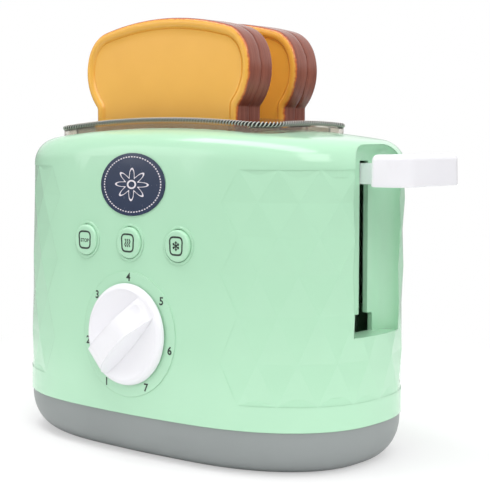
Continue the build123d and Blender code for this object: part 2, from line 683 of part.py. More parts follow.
def lever_handle():
    """The white block outside, pushed over the arm's end: drafted sides, a round top edge, a crisp lower one."""
    plan = Rectangle(HANDLE_FRONT_X - HANDLE_BACK_X, 2 * HANDLE_HALF_WIDTH)
    plan = fillet(plan.vertices().group_by(Axis.X)[-1], HANDLE_CORNER)
    plan = fillet(plan.vertices().group_by(Axis.X)[0], HANDLE_BACK_CORNER)
    plan = Pos((HANDLE_FRONT_X + HANDLE_BACK_X) / 2, 0, HANDLE_BOTTOM_Z) * plan
    grip = extrude(plan, HANDLE_TOP_Z - HANDLE_BOTTOM_Z, taper=HANDLE_DRAFT)
    grip = fillet(grip.edges().group_by(Axis.Z)[-1], HANDLE_TOP_EDGE)
    grip = fillet(grip.edges().group_by(Axis.Z)[0], HANDLE_BOTTOM_EDGE)
    return grip - block((0, HANDLE_BACK_X + HANDLE_SOCKET_DEPTH), (-ARM_HALF_WIDTH, ARM_HALF_WIDTH),
                        (ARM_BOTTOM_Z, ARM_TOP_Z))


def fork_screw():
    """The screw that holds the riser in the carriage's fork."""
    side = ARM_HALF_WIDTH + FORK_WALL
    shank = facing(FORK_SCREW_X, FORK_SCREW_Z, -side, side, SCREW_RADIUS)
    return shank + facing(FORK_SCREW_X, FORK_SCREW_Z, side, side + SMALL_HEAD_HEIGHT, SCREW_HEAD_RADIUS)


def return_spring(x):
    """The compression spring round one rod, under the carriage's hub."""
    height = HUB_BOTTOM_Z - ROD_SEAT_Z
    return Pos(x, 0, ROD_SEAT_Z) * coil(SPRING_RADIUS, SPRING_WIRE, height / SPRING_TURNS, height)


def latch_hook():
    """The hook that catches the lowered carriage, shown swung clear of it."""
    half = LATCH_HOOK_HALF_WIDTH
    stem = block((LATCH_PIVOT_X - LATCH_STEM_HALF, LATCH_PIVOT_X + LATCH_STEM_HALF),
                 (LATCH_HOOK_Y - half, LATCH_HOOK_Y + half), (LATCH_PIVOT_Z, LATCH_TOP_Z))
    nose = block((LATCH_NOSE_X, LATCH_PIVOT_X), (LATCH_HOOK_Y - half, LATCH_HOOK_Y + half),
                 (LATCH_NOSE_Z, LATCH_TOP_Z))
    eye = facing(LATCH_PIVOT_X, LATCH_PIVOT_Z, LATCH_HOOK_Y - half, LATCH_HOOK_Y + half, LATCH_EYE_RADIUS)
    bore = facing(LATCH_PIVOT_X, LATCH_PIVOT_Z, LATCH_PIN_FRONT_Y, LATCH_PIN_BACK_Y,
                  LATCH_PIN_RADIUS + RUNNING_GAP)
    return stem + nose + eye - bore


def latch_pin():
    """The pin that the hook turns on."""
    return facing(LATCH_PIVOT_X, LATCH_PIVOT_Z, LATCH_PIN_FRONT_Y, LATCH_PIN_BACK_Y, LATCH_PIN_RADIUS)


# ---------------------------------------------------------------- timer and knob
def timer_housing():
    """The cup behind the dial that holds the click wheel."""
    half = TIMER_HALF_SIZE
    cup = block((-half, half), (TIMER_FRONT_Y, TIMER_COVER_Y), (DIAL_Z - half, DIAL_Z + half))
    ear = TIMER_POST_X[1] + POST_RADIUS
    cup += block((-ear, ear), (TIMER_EAR_Y, TIMER_EAR_Y + EAR_THICKNESS), (DIAL_Z - POST_RADIUS, DIAL_Z + POST_RADIUS))
    room = half - TIMER_WALL
    cup -= block((-room, room), (TIMER_FRONT_Y + TIMER_WALL, TIMER_COVER_Y), (DIAL_Z - room, DIAL_Z + room))
    cup -= facing(0, DIAL_Z, -FAR, 0, SHAFT_RADIUS + RUNNING_GAP)
    for x in TIMER_POST_X:
        cup -= facing(x, DIAL_Z, TIMER_EAR_Y, TIMER_EAR_Y + EAR_THICKNESS, SMALL_SCREW_RADIUS)
    return cup


def timer_cover():
    """The plate that closes the timer's cup."""
    half = TIMER_HALF_SIZE
    plate = block((-half, half), (TIMER_COVER_Y, TIMER_COVER_Y + TIMER_WALL), (DIAL_Z - half, DIAL_Z + half))
    return plate - facing(0, DIAL_Z, -FAR, 0, SHAFT_RADIUS + RUNNING_GAP)


def timer_shaft():
    """The shaft from the click wheel out to the knob."""
    return facing(0, DIAL_Z, KNOB_BACK_Y - KNOB_SOCKET_DEPTH, TIMER_COVER_Y + TIMER_WALL, SHAFT_RADIUS)


def click_wheel():
    """The toothed wheel that gives the dial its clicks."""
    wheel = facing(0, DIAL_Z, CLICK_WHEEL_Y, CLICK_WHEEL_Y + CLICK_WHEEL_WIDTH, CLICK_WHEEL_RADIUS)
    for k in range(CLICK_TEETH):
        angle = 2 * pi * k / CLICK_TEETH
        x = CLICK_WHEEL_RADIUS * cos(angle)
        z = DIAL_Z + CLICK_WHEEL_RADIUS * sin(angle)
        wheel -= facing(x, z, CLICK_WHEEL_Y, CLICK_WHEEL_Y + CLICK_WHEEL_WIDTH, CLICK_NOTCH_RADIUS)
    return wheel - facing(0, DIAL_Z, -FAR, 0, SHAFT_RADIUS)


def click_spring():
    """The leaf that rides on the click wheel's teeth."""
    low = DIAL_Z + CLICK_WHEEL_RADIUS + CLICK_SPRING_GAP
    wall_x = TIMER_HALF_SIZE - TIMER_WALL
    depth = (CLICK_WHEEL_Y, CLICK_WHEEL_Y + CLICK_WHEEL_WIDTH)
    leaf = block((-wall_x, CLICK_SPRING_TIP), depth, (low + CLICK_NOSE_RADIUS, low + CLICK_NOSE_RADIUS + LEAF_THICKNESS))
    return leaf + facing(0, low + CLICK_NOSE_RADIUS, *depth, CLICK_NOSE_RADIUS)


def timer_screws():
    """Two screws through the timer's ears."""
    screws = []
    for x in TIMER_POST_X:
        back = TIMER_EAR_Y + EAR_THICKNESS
        screws.append(facing(x, DIAL_Z, TIMER_EAR_Y - SMALL_SCREW_BITE, back, SMALL_SCREW_RADIUS)
                      + facing(x, DIAL_Z, back, back + SMALL_HEAD_HEIGHT, SMALL_HEAD_RADIUS))
    return Compound(screws)


def knob_grip():
    """The grip across the knob, with leaning sides, under the curve of its top."""
    point, heel = KNOB_GRIP_HALF_WIDTHS
    reach = KNOB_GRIP_RADIUS
    plan = Polygon((-heel, -reach), (heel, -reach), (point, reach), (-point, reach), align=None)
    top = [(KNOB_BACK_Y - height, place) for place, height in KNOB_GRIP_TOP]
    foot = Polyline(top[-1], (KNOB_BACK_Y, top[-1][1]), (KNOB_BACK_Y, top[0][1]), top[0])
    side_view = Plane.YZ * make_face([Spline(*top), *foot.edges()])
    bar = extrude(Plane.XZ.offset(-KNOB_BACK_Y) * plan, KNOB_RADIUS / 2, taper=KNOB_GRIP_DRAFT)
    bar = bar & facing(0, 0, KNOB_BACK_Y - KNOB_RADIUS, KNOB_BACK_Y, KNOB_GRIP_RADIUS)
    return bar & extrude(side_view, KNOB_RADIUS, both=True)


def timer_knob():
    """The dial knob: a thin dished disc with a grip that rises away from its pointing end."""
    crest_y = KNOB_BACK_Y - KNOB_THICKNESS
    disc = facing(0, 0, crest_y, KNOB_BACK_Y, KNOB_RADIUS)
    disc = fillet(disc.edges().group_by(Axis.Y)[0], KNOB_EDGE)
    # Radius of the sphere that cuts the dish, from the dish's own radius and depth
    dish = (KNOB_DISH_RADIUS ** 2 + KNOB_DISH_DEPTH ** 2) / (2 * KNOB_DISH_DEPTH)
    disc -= Pos(0, crest_y + KNOB_DISH_DEPTH - dish, 0) * Sphere(dish)
    knob = disc + knob_grip()
    x, along = KNOB_DIMPLE_PLACE
    (near, low), (far, high) = KNOB_GRIP_TOP[-1], KNOB_GRIP_TOP[-2]
    slope = (high - low) / (near - far)
    surface_y = KNOB_BACK_Y - low - slope * (near - along)
    lift = KNOB_DIMPLE_SPHERE - KNOB_DIMPLE_DEPTH
    stretch = lift / hypot(1, slope)
    knob -= Pos(x, surface_y - stretch, along + stretch * slope) * Sphere(KNOB_DIMPLE_SPHERE)
    knob -= facing(0, 0, KNOB_BACK_Y - KNOB_SOCKET_DEPTH, KNOB_BACK_Y, SHAFT_RADIUS)
    return Pos(0, 0, DIAL_Z) * Rot(0, KNOB_REST_ANGLE, 0) * knob


# ---------------------------------------------------------------- buttons
def flange_y(x):
    """Front of a button's flange, just behind the shell's wall."""
    return front_wall_y(x, BUTTON_Z, SIDE_WALL) + FLANGE_CLEARANCE


def push_button(x, wall_y):
    """One button: round cap, flange that keeps it in, and guide stem."""
    front = wall_y - BUTTON_PROUD
    behind = flange_y(x) + FLANGE_THICKNESS
    cap = facing(x, BUTTON_Z, front, behind, BUTTON_RADIUS)
    cap = fillet(cap.edges().group_by(Axis.Y)[0], BUTTON_EDGE)
    cap += facing(x, BUTTON_Z, flange_y(x), behind, FLANGE_RADIUS)
    return cap + facing(x, BUTTON_Z, behind, STEM_END_Y, STEM_RADIUS)


def button_spring(x):
    """The small spring between a button's flange and the carrier."""
    start = flange_y(x) + FLANGE_THICKNESS
    length = CARRIER_Y - start
    upright_coil = coil(BUTTON_SPRING_RADIUS, BUTTON_SPRING_WIRE, length / BUTTON_SPRING_TURNS, length)
    return Pos(x, start, BUTTON_Z) * Rot(-90, 0, 0) * upright_coil


def button_carrier():
    """The plate behind the buttons that guides their stems."""
    plate = block((-CARRIER_HALF_LENGTH, CARRIER_HALF_LENGTH), (CARRIER_Y, CARRIER_Y + CARRIER_THICKNESS),
                  (BUTTON_Z - CARRIER_HALF_HEIGHT, BUTTON_Z + CARRIER_HALF_HEIGHT))
    for x, _ in button_places():
        plate -= facing(x, BUTTON_Z, -FAR, 0, STEM_RADIUS + RUNNING_GAP)
    for x in CARRIER_POST_X:
        plate -= facing(x, BUTTON_Z, -FAR, 0, SMALL_SCREW_RADIUS)
    return plate


def carrier_screws():
    """Two screws that hold the button carrier."""
    back = CARRIER_Y + CARRIER_THICKNESS
    return Compound([facing(x, BUTTON_Z, CARRIER_Y - SMALL_SCREW_BITE, back, SMALL_SCREW_RADIUS)
                     + facing(x, BUTTON_Z, back, back + SMALL_HEAD_HEIGHT, SMALL_HEAD_RADIUS)
                     for x in CARRIER_POST_X])


# ---------------------------------------------------------------- bread
def slice_outline(centre_x):
    """The slice's outline in X and Z: straight sides, two lobes that grow flatter downwards, a shallow crown."""
    rise = BREAD_CROWN_Z - BREAD_LOBE_Z
    # Radius of the crown arc that runs tangent into both lobes
    radius = (rise ** 2 + BREAD_LOBE_X ** 2 - BREAD_LOBE_RADIUS ** 2) / (2 * (rise - BREAD_LOBE_RADIUS))
    crown_centre_z = BREAD_CROWN_Z - radius
    touch_x = BREAD_LOBE_X * radius / (radius - BREAD_LOBE_RADIUS)
    trunk_top = BREAD_LOBE_Z + BREAD_LOBE_RADIUS / 2
    outline = Pos(0, (BREAD_BOTTOM_Z + trunk_top) / 2) * Rectangle(2 * BREAD_SIDE, trunk_top - BREAD_BOTTOM_Z)
    band = Pos(0, BREAD_LOBE_Z + rise / 2 + 1) * Rectangle(2 * touch_x, rise + 2)
    outline += Pos(0, crown_centre_z) * Circle(radius) & band
    # From this turn downwards each lobe follows a larger arc, tangent to the upper one
    turn = radians(BREAD_LOBE_TURN)
    reach = BREAD_LOWER_RADIUS - BREAD_LOBE_RADIUS
    lower_x = BREAD_LOBE_X - reach * cos(turn)
    lower_z = BREAD_LOBE_Z - reach * sin(turn)
    joint_z = BREAD_LOBE_Z + BREAD_LOBE_RADIUS * sin(turn)
    lower_band = Pos(0, (BREAD_BOTTOM_Z + joint_z) / 2) * Rectangle(FAR, joint_z - BREAD_BOTTOM_Z)
    for side in (-1, 1):
        outline += Pos(side * BREAD_LOBE_X, BREAD_LOBE_Z) * Circle(BREAD_LOBE_RADIUS)
        outline += Pos(side * lower_x, lower_z) * Circle(BREAD_LOWER_RADIUS) & lower_band
    outline = fillet(outline.vertices().group_by(Axis.Y)[1], BREAD_NECK_RADIUS)
    outline = fillet(outline.vertices().group_by(Axis.Y)[0], BREAD_CORNER_RADIUS)
    return Pos(centre_x, 0) * outline


def bread_half(centre_x, front, back, face_out):
    """One moulded half of a slice: a shallow dish with a rim round its recessed panel."""
    outline = slice_outline(centre_x)
    half = along_y(outline, front, back)
    faces = half.edges().group_by(Axis.Y)
    half = fillet(faces[0] if face_out < 0 else faces[-1], BREAD_EDGE)
    panel = offset(outline, -BREAD_PANEL_INSET)
    room = offset(outline, -BREAD_WALL)
    skin = BREAD_WALL + BREAD_PANEL_DEPTH
    if face_out < 0:
        half -= along_y(panel, front, front + BREAD_PANEL_DEPTH)
        return half - along_y(room, front + skin, back)
    half -= along_y(panel, back - BREAD_PANEL_DEPTH, back)
    return half - along_y(room, front, back - skin)


# ---------------------------------------------------------------- everything
def main():
    os.makedirs("parts", exist_ok=True)
    body = smooth_body()
    save(outer_shell(body), "outer_shell")
    save(badge_plate(body), "badge_plate")
    save(base_tray(), "base_tray")
    save(rubber_feet(), "rubber_feet")
    save(base_screws(), "base_screws")
    save(top_grille(), "top_grille")
    for name, side in (("front", -1), ("rear", 1)):
        save(bread_well(side), f"bread_well_{name}")
        save(bread_cradle(side), f"bread_cradle_{name}")
    for name, x in (("left", ROD_LEFT_X), ("right", ROD_RIGHT_X)):
        save(guide_rod(x), f"guide_rod_{name}")
        save(return_spring(x), f"return_spring_{name}")
    save(carriage(), "carriage")
    save(lever_arm(), "lever_arm")
    save(lever_handle(), "lever_handle")
    save(fork_screw(), "fork_screw")
    save(latch_hook(), "latch_hook")
    save(latch_pin(), "latch_pin")
    save(on_dial(timer_housing()), "timer_housing")
    save(on_dial(timer_cover()), "timer_cover")
    save(on_dial(timer_shaft()), "timer_shaft")
    save(on_dial(click_wheel()), "click_wheel")
    save(on_dial(click_spring()), "click_spring")
    save(on_dial(timer_screws()), "timer_screws")
    save(on_dial(timer_knob()), "timer_knob")
    for name, (x, wall_y) in zip(BUTTON_NAMES, button_places()):
        save(push_button(x, wall_y), f"button_{name}")
        save(button_spring(x), f"button_spring_{name}")
    save(button_carrier(), "button_carrier")
    save(carrier_screws(), "carrier_screws")
    for name, side, shift in (("front", -1, FRONT_SLICE_SHIFT), ("rear", 1, REAR_SLICE_SHIFT)):
        x = SLOT_CENTRE_X + shift
        y = side * BREAD_PITCH_Y / 2
        save(bread_half(x, y - BREAD_HALF_THICKNESS, y, -1), f"{name}_slice_near_half")
        save(bread_half(x, y, y + BREAD_HALF_THICKNESS, 1), f"{name}_slice_far_half")


main()
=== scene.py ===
# %% [markdown]
# A toy toaster, dressed. The solids come ready made: every piece already has its size and its place, in
# metres, with the front towards -Y and the table at z = 0. This lesson gives them their finishes, and makes
# anew what needs finer surfaces: the knob, the slices, the bead round the cover and the print.

import json
from math import acos, atan2, cos, pi, radians, sin, sqrt

import bmesh
import bpy
import numpy as np
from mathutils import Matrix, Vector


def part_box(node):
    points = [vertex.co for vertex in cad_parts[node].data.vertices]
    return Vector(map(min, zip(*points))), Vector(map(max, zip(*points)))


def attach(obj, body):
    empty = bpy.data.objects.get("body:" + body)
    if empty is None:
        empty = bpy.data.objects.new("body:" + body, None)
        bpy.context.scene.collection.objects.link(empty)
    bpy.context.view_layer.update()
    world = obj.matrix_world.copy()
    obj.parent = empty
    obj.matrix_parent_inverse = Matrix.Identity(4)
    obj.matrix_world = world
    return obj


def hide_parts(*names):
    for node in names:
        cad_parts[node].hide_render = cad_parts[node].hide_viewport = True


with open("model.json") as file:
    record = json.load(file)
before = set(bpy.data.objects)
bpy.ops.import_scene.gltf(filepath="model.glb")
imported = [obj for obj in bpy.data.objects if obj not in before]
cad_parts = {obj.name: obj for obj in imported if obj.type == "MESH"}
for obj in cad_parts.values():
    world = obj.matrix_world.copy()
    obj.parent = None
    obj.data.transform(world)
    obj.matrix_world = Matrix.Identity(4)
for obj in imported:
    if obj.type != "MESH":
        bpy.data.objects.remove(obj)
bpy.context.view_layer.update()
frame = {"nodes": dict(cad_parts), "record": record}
NODES = frame["nodes"]
MM = 0.001


def linked(name, data):
    """A new object with the given mesh, camera, lamp or curve, put into the scene."""
    item = bpy.data.objects.new(name, data)
    bpy.context.scene.collection.objects.link(item)
    return item


print("solids loaded:", len(NODES))

# %% [markdown]
# The camera stands to the right of the front, about as high as the casing's top and quite far away. A long
# lens keeps the verticals nearly parallel.

# %% Camera
CAMERA_PLACE = (0.34870, -0.40807, 0.1283)
CAMERA_TURN = (radians(90 - 4.867), 0.0, radians(38.797))
CAMERA_LENS = 92.26

camera_data = bpy.data.cameras.new("camera")
camera_data.lens = CAMERA_LENS
camera_data.sensor_width = 36.0
camera_data.clip_start = 0.01
camera = linked("camera", camera_data)
camera.location = CAMERA_PLACE
camera.rotation_euler = CAMERA_TURN
bpy.context.scene.camera = camera
bpy.context.scene.view_settings.view_transform = "Standard"
print("camera lens in mm:", CAMERA_LENS)

# %% [markdown]
# Helpers for finishes. Colours are picked as they look on a screen, the sRGB scale, and shaders count light
# linearly, so one function turns the hex value to linear. Another adds a node to a material with its settings
# and what feeds it, so that a finish reads as a short list. Patterns have sizes in real millimetres.

# %% Finish helpers
BEVEL_SAMPLES = 6


def linear(code):
    """Linear colour of an sRGB hex code: c/12.92 below 0.04045, else ((c+0.055)/1.055) to the power 2.4."""
    share = np.array([int(code[k:k + 2], 16) / 255 for k in (1, 3, 5)])
    curve = np.where(share <= 0.04045, share / 12.92, ((share + 0.055) / 1.055) ** 2.4)
    return (*curve.tolist(), 1.0)


def add(tree, kind, settings, links):
    """Adds one node; settings fill its properties or its free sockets, links feed its sockets."""
    node = tree.nodes.new("ShaderNode" + kind)
    for name, value in settings.items():
        if isinstance(name, str) and hasattr(node, name):
            setattr(node, name, value)
        else:
            node.inputs[name].default_value = value
    for name, source in links.items():
        tree.links.new(source, node.inputs[name])
    return node


def new_finish(name, surface):
    """An empty material with one Principled shader, whose own sockets take the values that never vary."""
    material = bpy.data.materials.new(name)
    material.use_nodes = True
    tree = material.node_tree
    tree.nodes.clear()
    shader = add(tree, "BsdfPrincipled", surface, {})
    add(tree, "OutputMaterial", {}, {"Surface": shader.outputs["BSDF"]})
    return material, tree, shader


def waves_per_metre(size_mm):
    """Noise scale whose grains are about that many millimetres wide."""
    return 1000.0 / size_mm


def tinted(tree, vector, size_mm, low, high, detail=3.0):
    """A soft noise between two colours, its patches about size_mm wide."""
    noise = add(tree, "TexNoise", {"Scale": waves_per_metre(size_mm), "Detail": detail}, {"Vector": vector})
    ramp = add(tree, "ValToRGB", {}, {"Fac": noise.outputs["Fac"]})
    for stop, position, code in zip(ramp.color_ramp.elements, (0.35, 0.65), (low, high)):
        stop.position = position
        stop.color = linear(code)
    return ramp.outputs["Color"]


def roughened(tree, vector, shader, size_mm, height_mm, low, high):
    """Fine grain: one noise gives a bump of that height and a roughness between low and high."""
    noise = add(tree, "TexNoise", {"Scale": waves_per_metre(size_mm), "Detail": 2.0}, {"Vector": vector})
    spread = add(tree, "MapRange", {"To Min": low, "To Max": high}, {"Value": noise.outputs["Fac"]})
    bump = add(tree, "Bump", {"Strength": 1.0, "Distance": height_mm * MM}, {"Height": noise.outputs["Fac"]})
    tree.links.new(spread.outputs["Result"], shader.inputs["Roughness"])
    tree.links.new(bump.outputs["Normal"], shader.inputs["Normal"])
    return bump


def even_finish(name, surface, tint, grain, rounding_mm=0.0):
    """A tint (size, two colours) and a grain (size, height, roughness), with edges rounded in the shading."""
    material, tree, shader = new_finish(name, surface)
    place = add(tree, "TexCoord", {}, {}).outputs["Object"]
    tree.links.new(tinted(tree, place, *tint), shader.inputs["Base Color"])
    bump = roughened(tree, place, shader, *grain)
    if rounding_mm:
        soft = add(tree, "Bevel", {"samples": BEVEL_SAMPLES, "Radius": rounding_mm * MM}, {})
        tree.links.new(soft.outputs["Normal"], bump.inputs["Normal"])
    return material


print("helpers ready")

# %% [markdown]
# The casing is ABS, injection moulded in a mint green masterbatch and left as it leaves the polished mould:
# glossy, one colour all through. Where two facets meet, the edge is never knife sharp, so a Bevel node rounds
# the shading of edges by half a millimetre.

# %% Casing finish
ABS = {"IOR": 1.53, "Specular IOR Level": 0.5}
ABS_FLOW = 60
EDGE_ROUNDING = 0.5

mint_abs = even_finish("moulded_abs_mint", ABS, (ABS_FLOW, "#B3E0C0", "#B6E3C3"), (1.2, 0.0006, 0.10, 0.15),
                       EDGE_ROUNDING)
print("finish:", mint_abs.name)

# %% [markdown]
# The base is ABS too, in a neutral grey, from a mould with a fine spark-eroded texture, which makes it duller
# than the casing. The knob and the lever are white ABS with a high polish, faintly cool.

# %% Base, knob and lever finishes
grey_abs = even_finish("spark_eroded_abs_grey", ABS, (ABS_FLOW, "#8B9090", "#929797"),
                       (0.6, 0.003, 0.38, 0.50), 0.3)
white_abs = even_finish("polished_abs_white", ABS, (ABS_FLOW, "#F0EFF4", "#F3F2F6"),
                        (1.5, 0.0006, 0.20, 0.28), 0.4)
inner_white_abs = even_finish("moulded_abs_natural", ABS, (ABS_FLOW, "#DCDCD8", "#E2E2DE"),
                              (0.8, 0.004, 0.35, 0.45))
dark_abs = even_finish("moulded_abs_charcoal", ABS, (ABS_FLOW, "#232624", "#2A2D2B"),
                       (0.8, 0.006, 0.40, 0.52))
print("finishes:", grey_abs.name, white_abs.name, inner_white_abs.name, dark_abs.name)

# %% [markdown]
# Springs, rods, screws and pins are drawn steel: grey, with a fine grain that spreads the glint. The feet are
# moulded rubber, black and dull.

# %% Steel and rubber
drawn_steel = even_finish("drawn_steel_wire", {"Metallic": 1.0}, (4, "#A8ABAE", "#B6B9BC"),
                          (0.5, 0.003, 0.22, 0.38))
black_rubber = even_finish("moulded_rubber_black", {"IOR": 1.5}, (2, "#1C1C1C", "#242424"),
                           (0.7, 0.02, 0.65, 0.80))
print("finishes:", drawn_steel.name, black_rubber.name)

# %% [markdown]
# The cover round the slots is polystyrene moulded clear with a smoky tint. What is behind it shows as if
# through sunglasses, so the shader lets light pass and tints it at each surface. The rope-like bead on the
# rim is too curved to see through, so it is drawn opaque: pale on its crests, which is painted sheen, and
# dark in its hollows, which is painted shade.

# %% Smoky cover finish
CLEAR = {"IOR": 1.45, "Transmission Weight": 0.94, "Specular IOR Level": 0.5}
smoky_clear = even_finish("moulded_polystyrene_smoky", CLEAR, (25, "#E2DED4", "#E8E4DB"),
                          (3, 0.004, 0.04, 0.10))

# The bead's surface carries how far each point is out of the hollows between its strands; with it the finish
# paints shade into the hollows.
smoky_bead, tree, shader = new_finish("moulded_polystyrene_bead", {"IOR": 1.5, "Specular IOR Level": 0.3})
place = add(tree, "TexCoord", {}, {}).outputs["Object"]
crest = add(tree, "Attribute", {"attribute_name": "crest"}, {})
# The strands' pale colour is the smoky plastic lightened by a painted sheen
strand = tinted(tree, place, 25, "#DCDCD6", "#E4E4DE")
# Painted shade: a near-black colour where the crest value is low, in the hollows between the strands
shade = add(tree, "Mix", {"data_type": "RGBA"}, {0: crest.outputs["Fac"], 7: strand})
shade.inputs[6].default_value = linear("#1A1A17")
tree.links.new(shade.outputs[2], shader.inputs["Base Color"])
roughened(tree, place, shader, 3, 0.004, 0.28, 0.38)
print("finishes:", smoky_clear.name, smoky_bead.name)

# %% [markdown]
# The toast is blow moulded in tan plastic. Its crust is sprayed on from the side in a reddish brown, so the
# colours meet in a soft edge with an orange bleed, and fine streaks run along the crust. An attribute on the
# slice tells the finish how far a point is from the spray's edge, in millimetres.

# %% Toast finish
STREAK_STRETCH, RAGGED_MM = 0.04, 0.25
BLEED_MM, COVER_MM = (-0.9, 0.1), (0.0, 0.55)

toast, tree, shader = new_finish("sprayed_plastic_toast", {"IOR": 1.5, "Specular IOR Level": 0.5})
place = add(tree, "TexCoord", {}, {}).outputs["Object"]
crumb = tinted(tree, place, 45, "#EEB149", "#F5B950")
spray = add(tree, "Attribute", {"attribute_name": "spray_mm"}, {})
# Streaks run round the slice: fast changes across the crust, slow ones along it
parts = add(tree, "SeparateXYZ", {}, {"Vector": place})
across = add(tree, "Math", {"operation": "MULTIPLY", 1: MM}, {0: spray.outputs["Fac"]})
round_way = add(tree, "Math", {"operation": "ADD"}, {0: parts.outputs["X"], 1: parts.outputs["Z"]})
slow = add(tree, "Math", {"operation": "MULTIPLY", 1: STREAK_STRETCH}, {0: round_way.outputs["Value"]})
streak_place = add(tree, "CombineXYZ", {}, {"X": across.outputs["Value"], "Y": slow.outputs["Value"]})
streaks = tinted(tree, streak_place.outputs["Vector"], 0.8, "#7C4032", "#945341", 4.0)
ragged = add(tree, "TexNoise", {"Scale": waves_per_metre(1.5), "Detail": 4.0}, {"Vector": place})
edge = add(tree, "MapRange", {"From Min": 0.3, "From Max": 0.7, "To Min": -RAGGED_MM, "To Max": RAGGED_MM},
           {"Value": ragged.outputs["Fac"]})
depth = add(tree, "Math", {"operation": "ADD"}, {0: spray.outputs["Fac"], 1: edge.outputs["Result"]})
bleed, cover = (
    add(tree, "MapRange", {"From Min": low, "From Max": high, "interpolation_type": "SMOOTHSTEP"},
        {"Value": depth.outputs["Value"]}) for low, high in (BLEED_MM, COVER_MM))
orange = add(tree, "Mix", {"data_type": "RGBA"}, {0: bleed.outputs["Result"], 6: crumb})
orange.inputs[7].default_value = linear("#C8632A")
crusted = add(tree, "Mix", {"data_type": "RGBA"},
              {0: cover.outputs["Result"], 6: orange.outputs[2], 7: streaks})
tree.links.new(crusted.outputs[2], shader.inputs["Base Color"])
roughened(tree, streak_place.outputs["Vector"], shader, 0.6, 0.02, 0.20, 0.30)
print("finish:", toast.name)

# %% [markdown]
# The oval badge is a printed film. Its design is plain: deep blue, a dashed light ring near the rim, and a
# rosette in the middle. It is drawn by the finish from the point's distance and direction from the oval's
# centre, so it stays crisp at any size.

# %% Badge finish
BADGE_Z, BADGE_HALF_WIDTH, BADGE_HALF_HEIGHT = 0.1099, 0.01757, 0.0125
RING_SHARE, RING_WIDTH = 0.88, 0.035
DASHES, DASH_LEVEL = 64, -0.2
PETALS, PETAL_SHARE, PETAL_SWING, PETAL_LINE = 8, 0.36, 0.14, 0.03
HEART_SHARE, HEART_LINE = 0.12, 0.025

badge_film, tree, shader = new_finish("printed_film_navy",
                                      {"IOR": 1.5, "Coat Weight": 0.3, "Coat Roughness": 0.08})
place = add(tree, "TexCoord", {}, {}).outputs["Object"]
centred = add(tree, "Mapping", {"vector_type": "TEXTURE", "Location": (0.0, 0.0, BADGE_Z),
                                "Scale": (BADGE_HALF_WIDTH, 1.0, BADGE_HALF_HEIGHT)}, {"Vector": place})
parts = add(tree, "SeparateXYZ", {}, {"Vector": centred.outputs["Vector"]})
flat = add(tree, "CombineXYZ", {}, {"X": parts.outputs["X"], "Y": parts.outputs["Z"]})
radius = add(tree, "VectorMath", {"operation": "LENGTH"}, {0: flat.outputs[0]}).outputs["Value"]
turn = add(tree, "Math", {"operation": "ARCTAN2"}, {0: parts.outputs["Z"], 1: parts.outputs["X"]}).outputs[0]
# A compare node is 1 where the radius lies within its third value of its second
ring = add(tree, "Math", {"operation": "COMPARE", 1: RING_SHARE, 2: RING_WIDTH / 2}, {0: radius}).outputs[0]
beat = add(tree, "Math", {"operation": "MULTIPLY", 1: DASHES}, {0: turn}).outputs[0]
swing = add(tree, "Math", {"operation": "SINE"}, {0: beat}).outputs[0]
dash = add(tree, "Math", {"operation": "GREATER_THAN", 1: DASH_LEVEL}, {0: swing}).outputs[0]
dashed_ring = add(tree, "Math", {"operation": "MULTIPLY"}, {0: ring, 1: dash}).outputs[0]
lobes = add(tree, "Math", {"operation": "MULTIPLY", 1: PETALS}, {0: turn}).outputs[0]
lobe = add(tree, "Math", {"operation": "COSINE"}, {0: lobes}).outputs[0]
tip = add(tree, "Math", {"operation": "MULTIPLY_ADD", 1: PETAL_SWING, 2: PETAL_SHARE}, {0: lobe}).outputs[0]
petals = add(tree, "Math", {"operation": "COMPARE", 2: PETAL_LINE}, {0: radius, 1: tip}).outputs[0]
heart = add(tree, "Math", {"operation": "COMPARE", 1: HEART_SHARE, 2: HEART_LINE}, {0: radius}).outputs[0]
flower = add(tree, "Math", {"operation": "MAXIMUM"}, {0: petals, 1: heart}).outputs[0]
print_mask = add(tree, "Math", {"operation": "MAXIMUM"}, {0: dashed_ring, 1: flower}).outputs[0]
navy = tinted(tree, place, 30, "#1E2C47", "#22314E")
ink = add(tree, "Mix", {"data_type": "RGBA"}, {0: print_mask, 6: navy})
ink.inputs[7].default_value = linear("#E4DDE4")
tree.links.new(ink.outputs[2], shader.inputs["Base Color"])
roughened(tree, place, shader, 2, 0.002, 0.22, 0.30)

dark_ink = even_finish("pad_printed_ink_dark", {"IOR": 1.5}, (2, "#27332C", "#2E3A33"),
                       (0.5, 0.001, 0.40, 0.55))
print("finishes:", badge_film.name, dark_ink.name)

# %% [markdown]
# The wall of the casing is a rounded superellipse that leans in towards the top. The same formula, in
# millimetres, is used for whatever lies on the wall: shading, numbers and print.

# %% The wall's formula
HALF_LENGTH, HALF_DEPTH = 88.0, 50.6
SEAM_Z, LEAN_Z, LEAN_POWER = 17.8, 109.9, 1.3
LEAN_FRONT, LEAN_BACK, LEAN_ENDS = 4.5, 1.0, -1.0
PLAN_POWER, WAVE_4, WAVE_6 = 2.286, -0.037, -0.022


def wall_lean(z):
    """Share of the full lean: how far z is from the seam to the lean's height, to a power."""
    return np.maximum(0.0, (z - SEAM_Z) / (LEAN_Z - SEAM_Z)) ** LEAN_POWER


def wall_gap(points):
    """How far points (in mm) lie outside the wall: their radius less the wall's radius in that direction."""
    x, y, z = points.T
    share = wall_lean(z)
    shifted = y - (LEAN_FRONT - LEAN_BACK) / 2 * share
    angle = np.arctan2(shifted, x)
    along = np.abs(np.cos(angle) / (HALF_LENGTH - LEAN_ENDS * share)) ** PLAN_POWER
    across = np.abs(np.sin(angle) / (HALF_DEPTH - (LEAN_FRONT + LEAN_BACK) / 2 * share)) ** PLAN_POWER
    wave = 1 + WAVE_4 * (np.cos(4 * angle) - 1) / 2 + WAVE_6 * (np.cos(6 * angle) - np.cos(2 * angle)) / 2
    return np.hypot(x, shifted) - (along + across) ** (-1 / PLAN_POWER) * wave


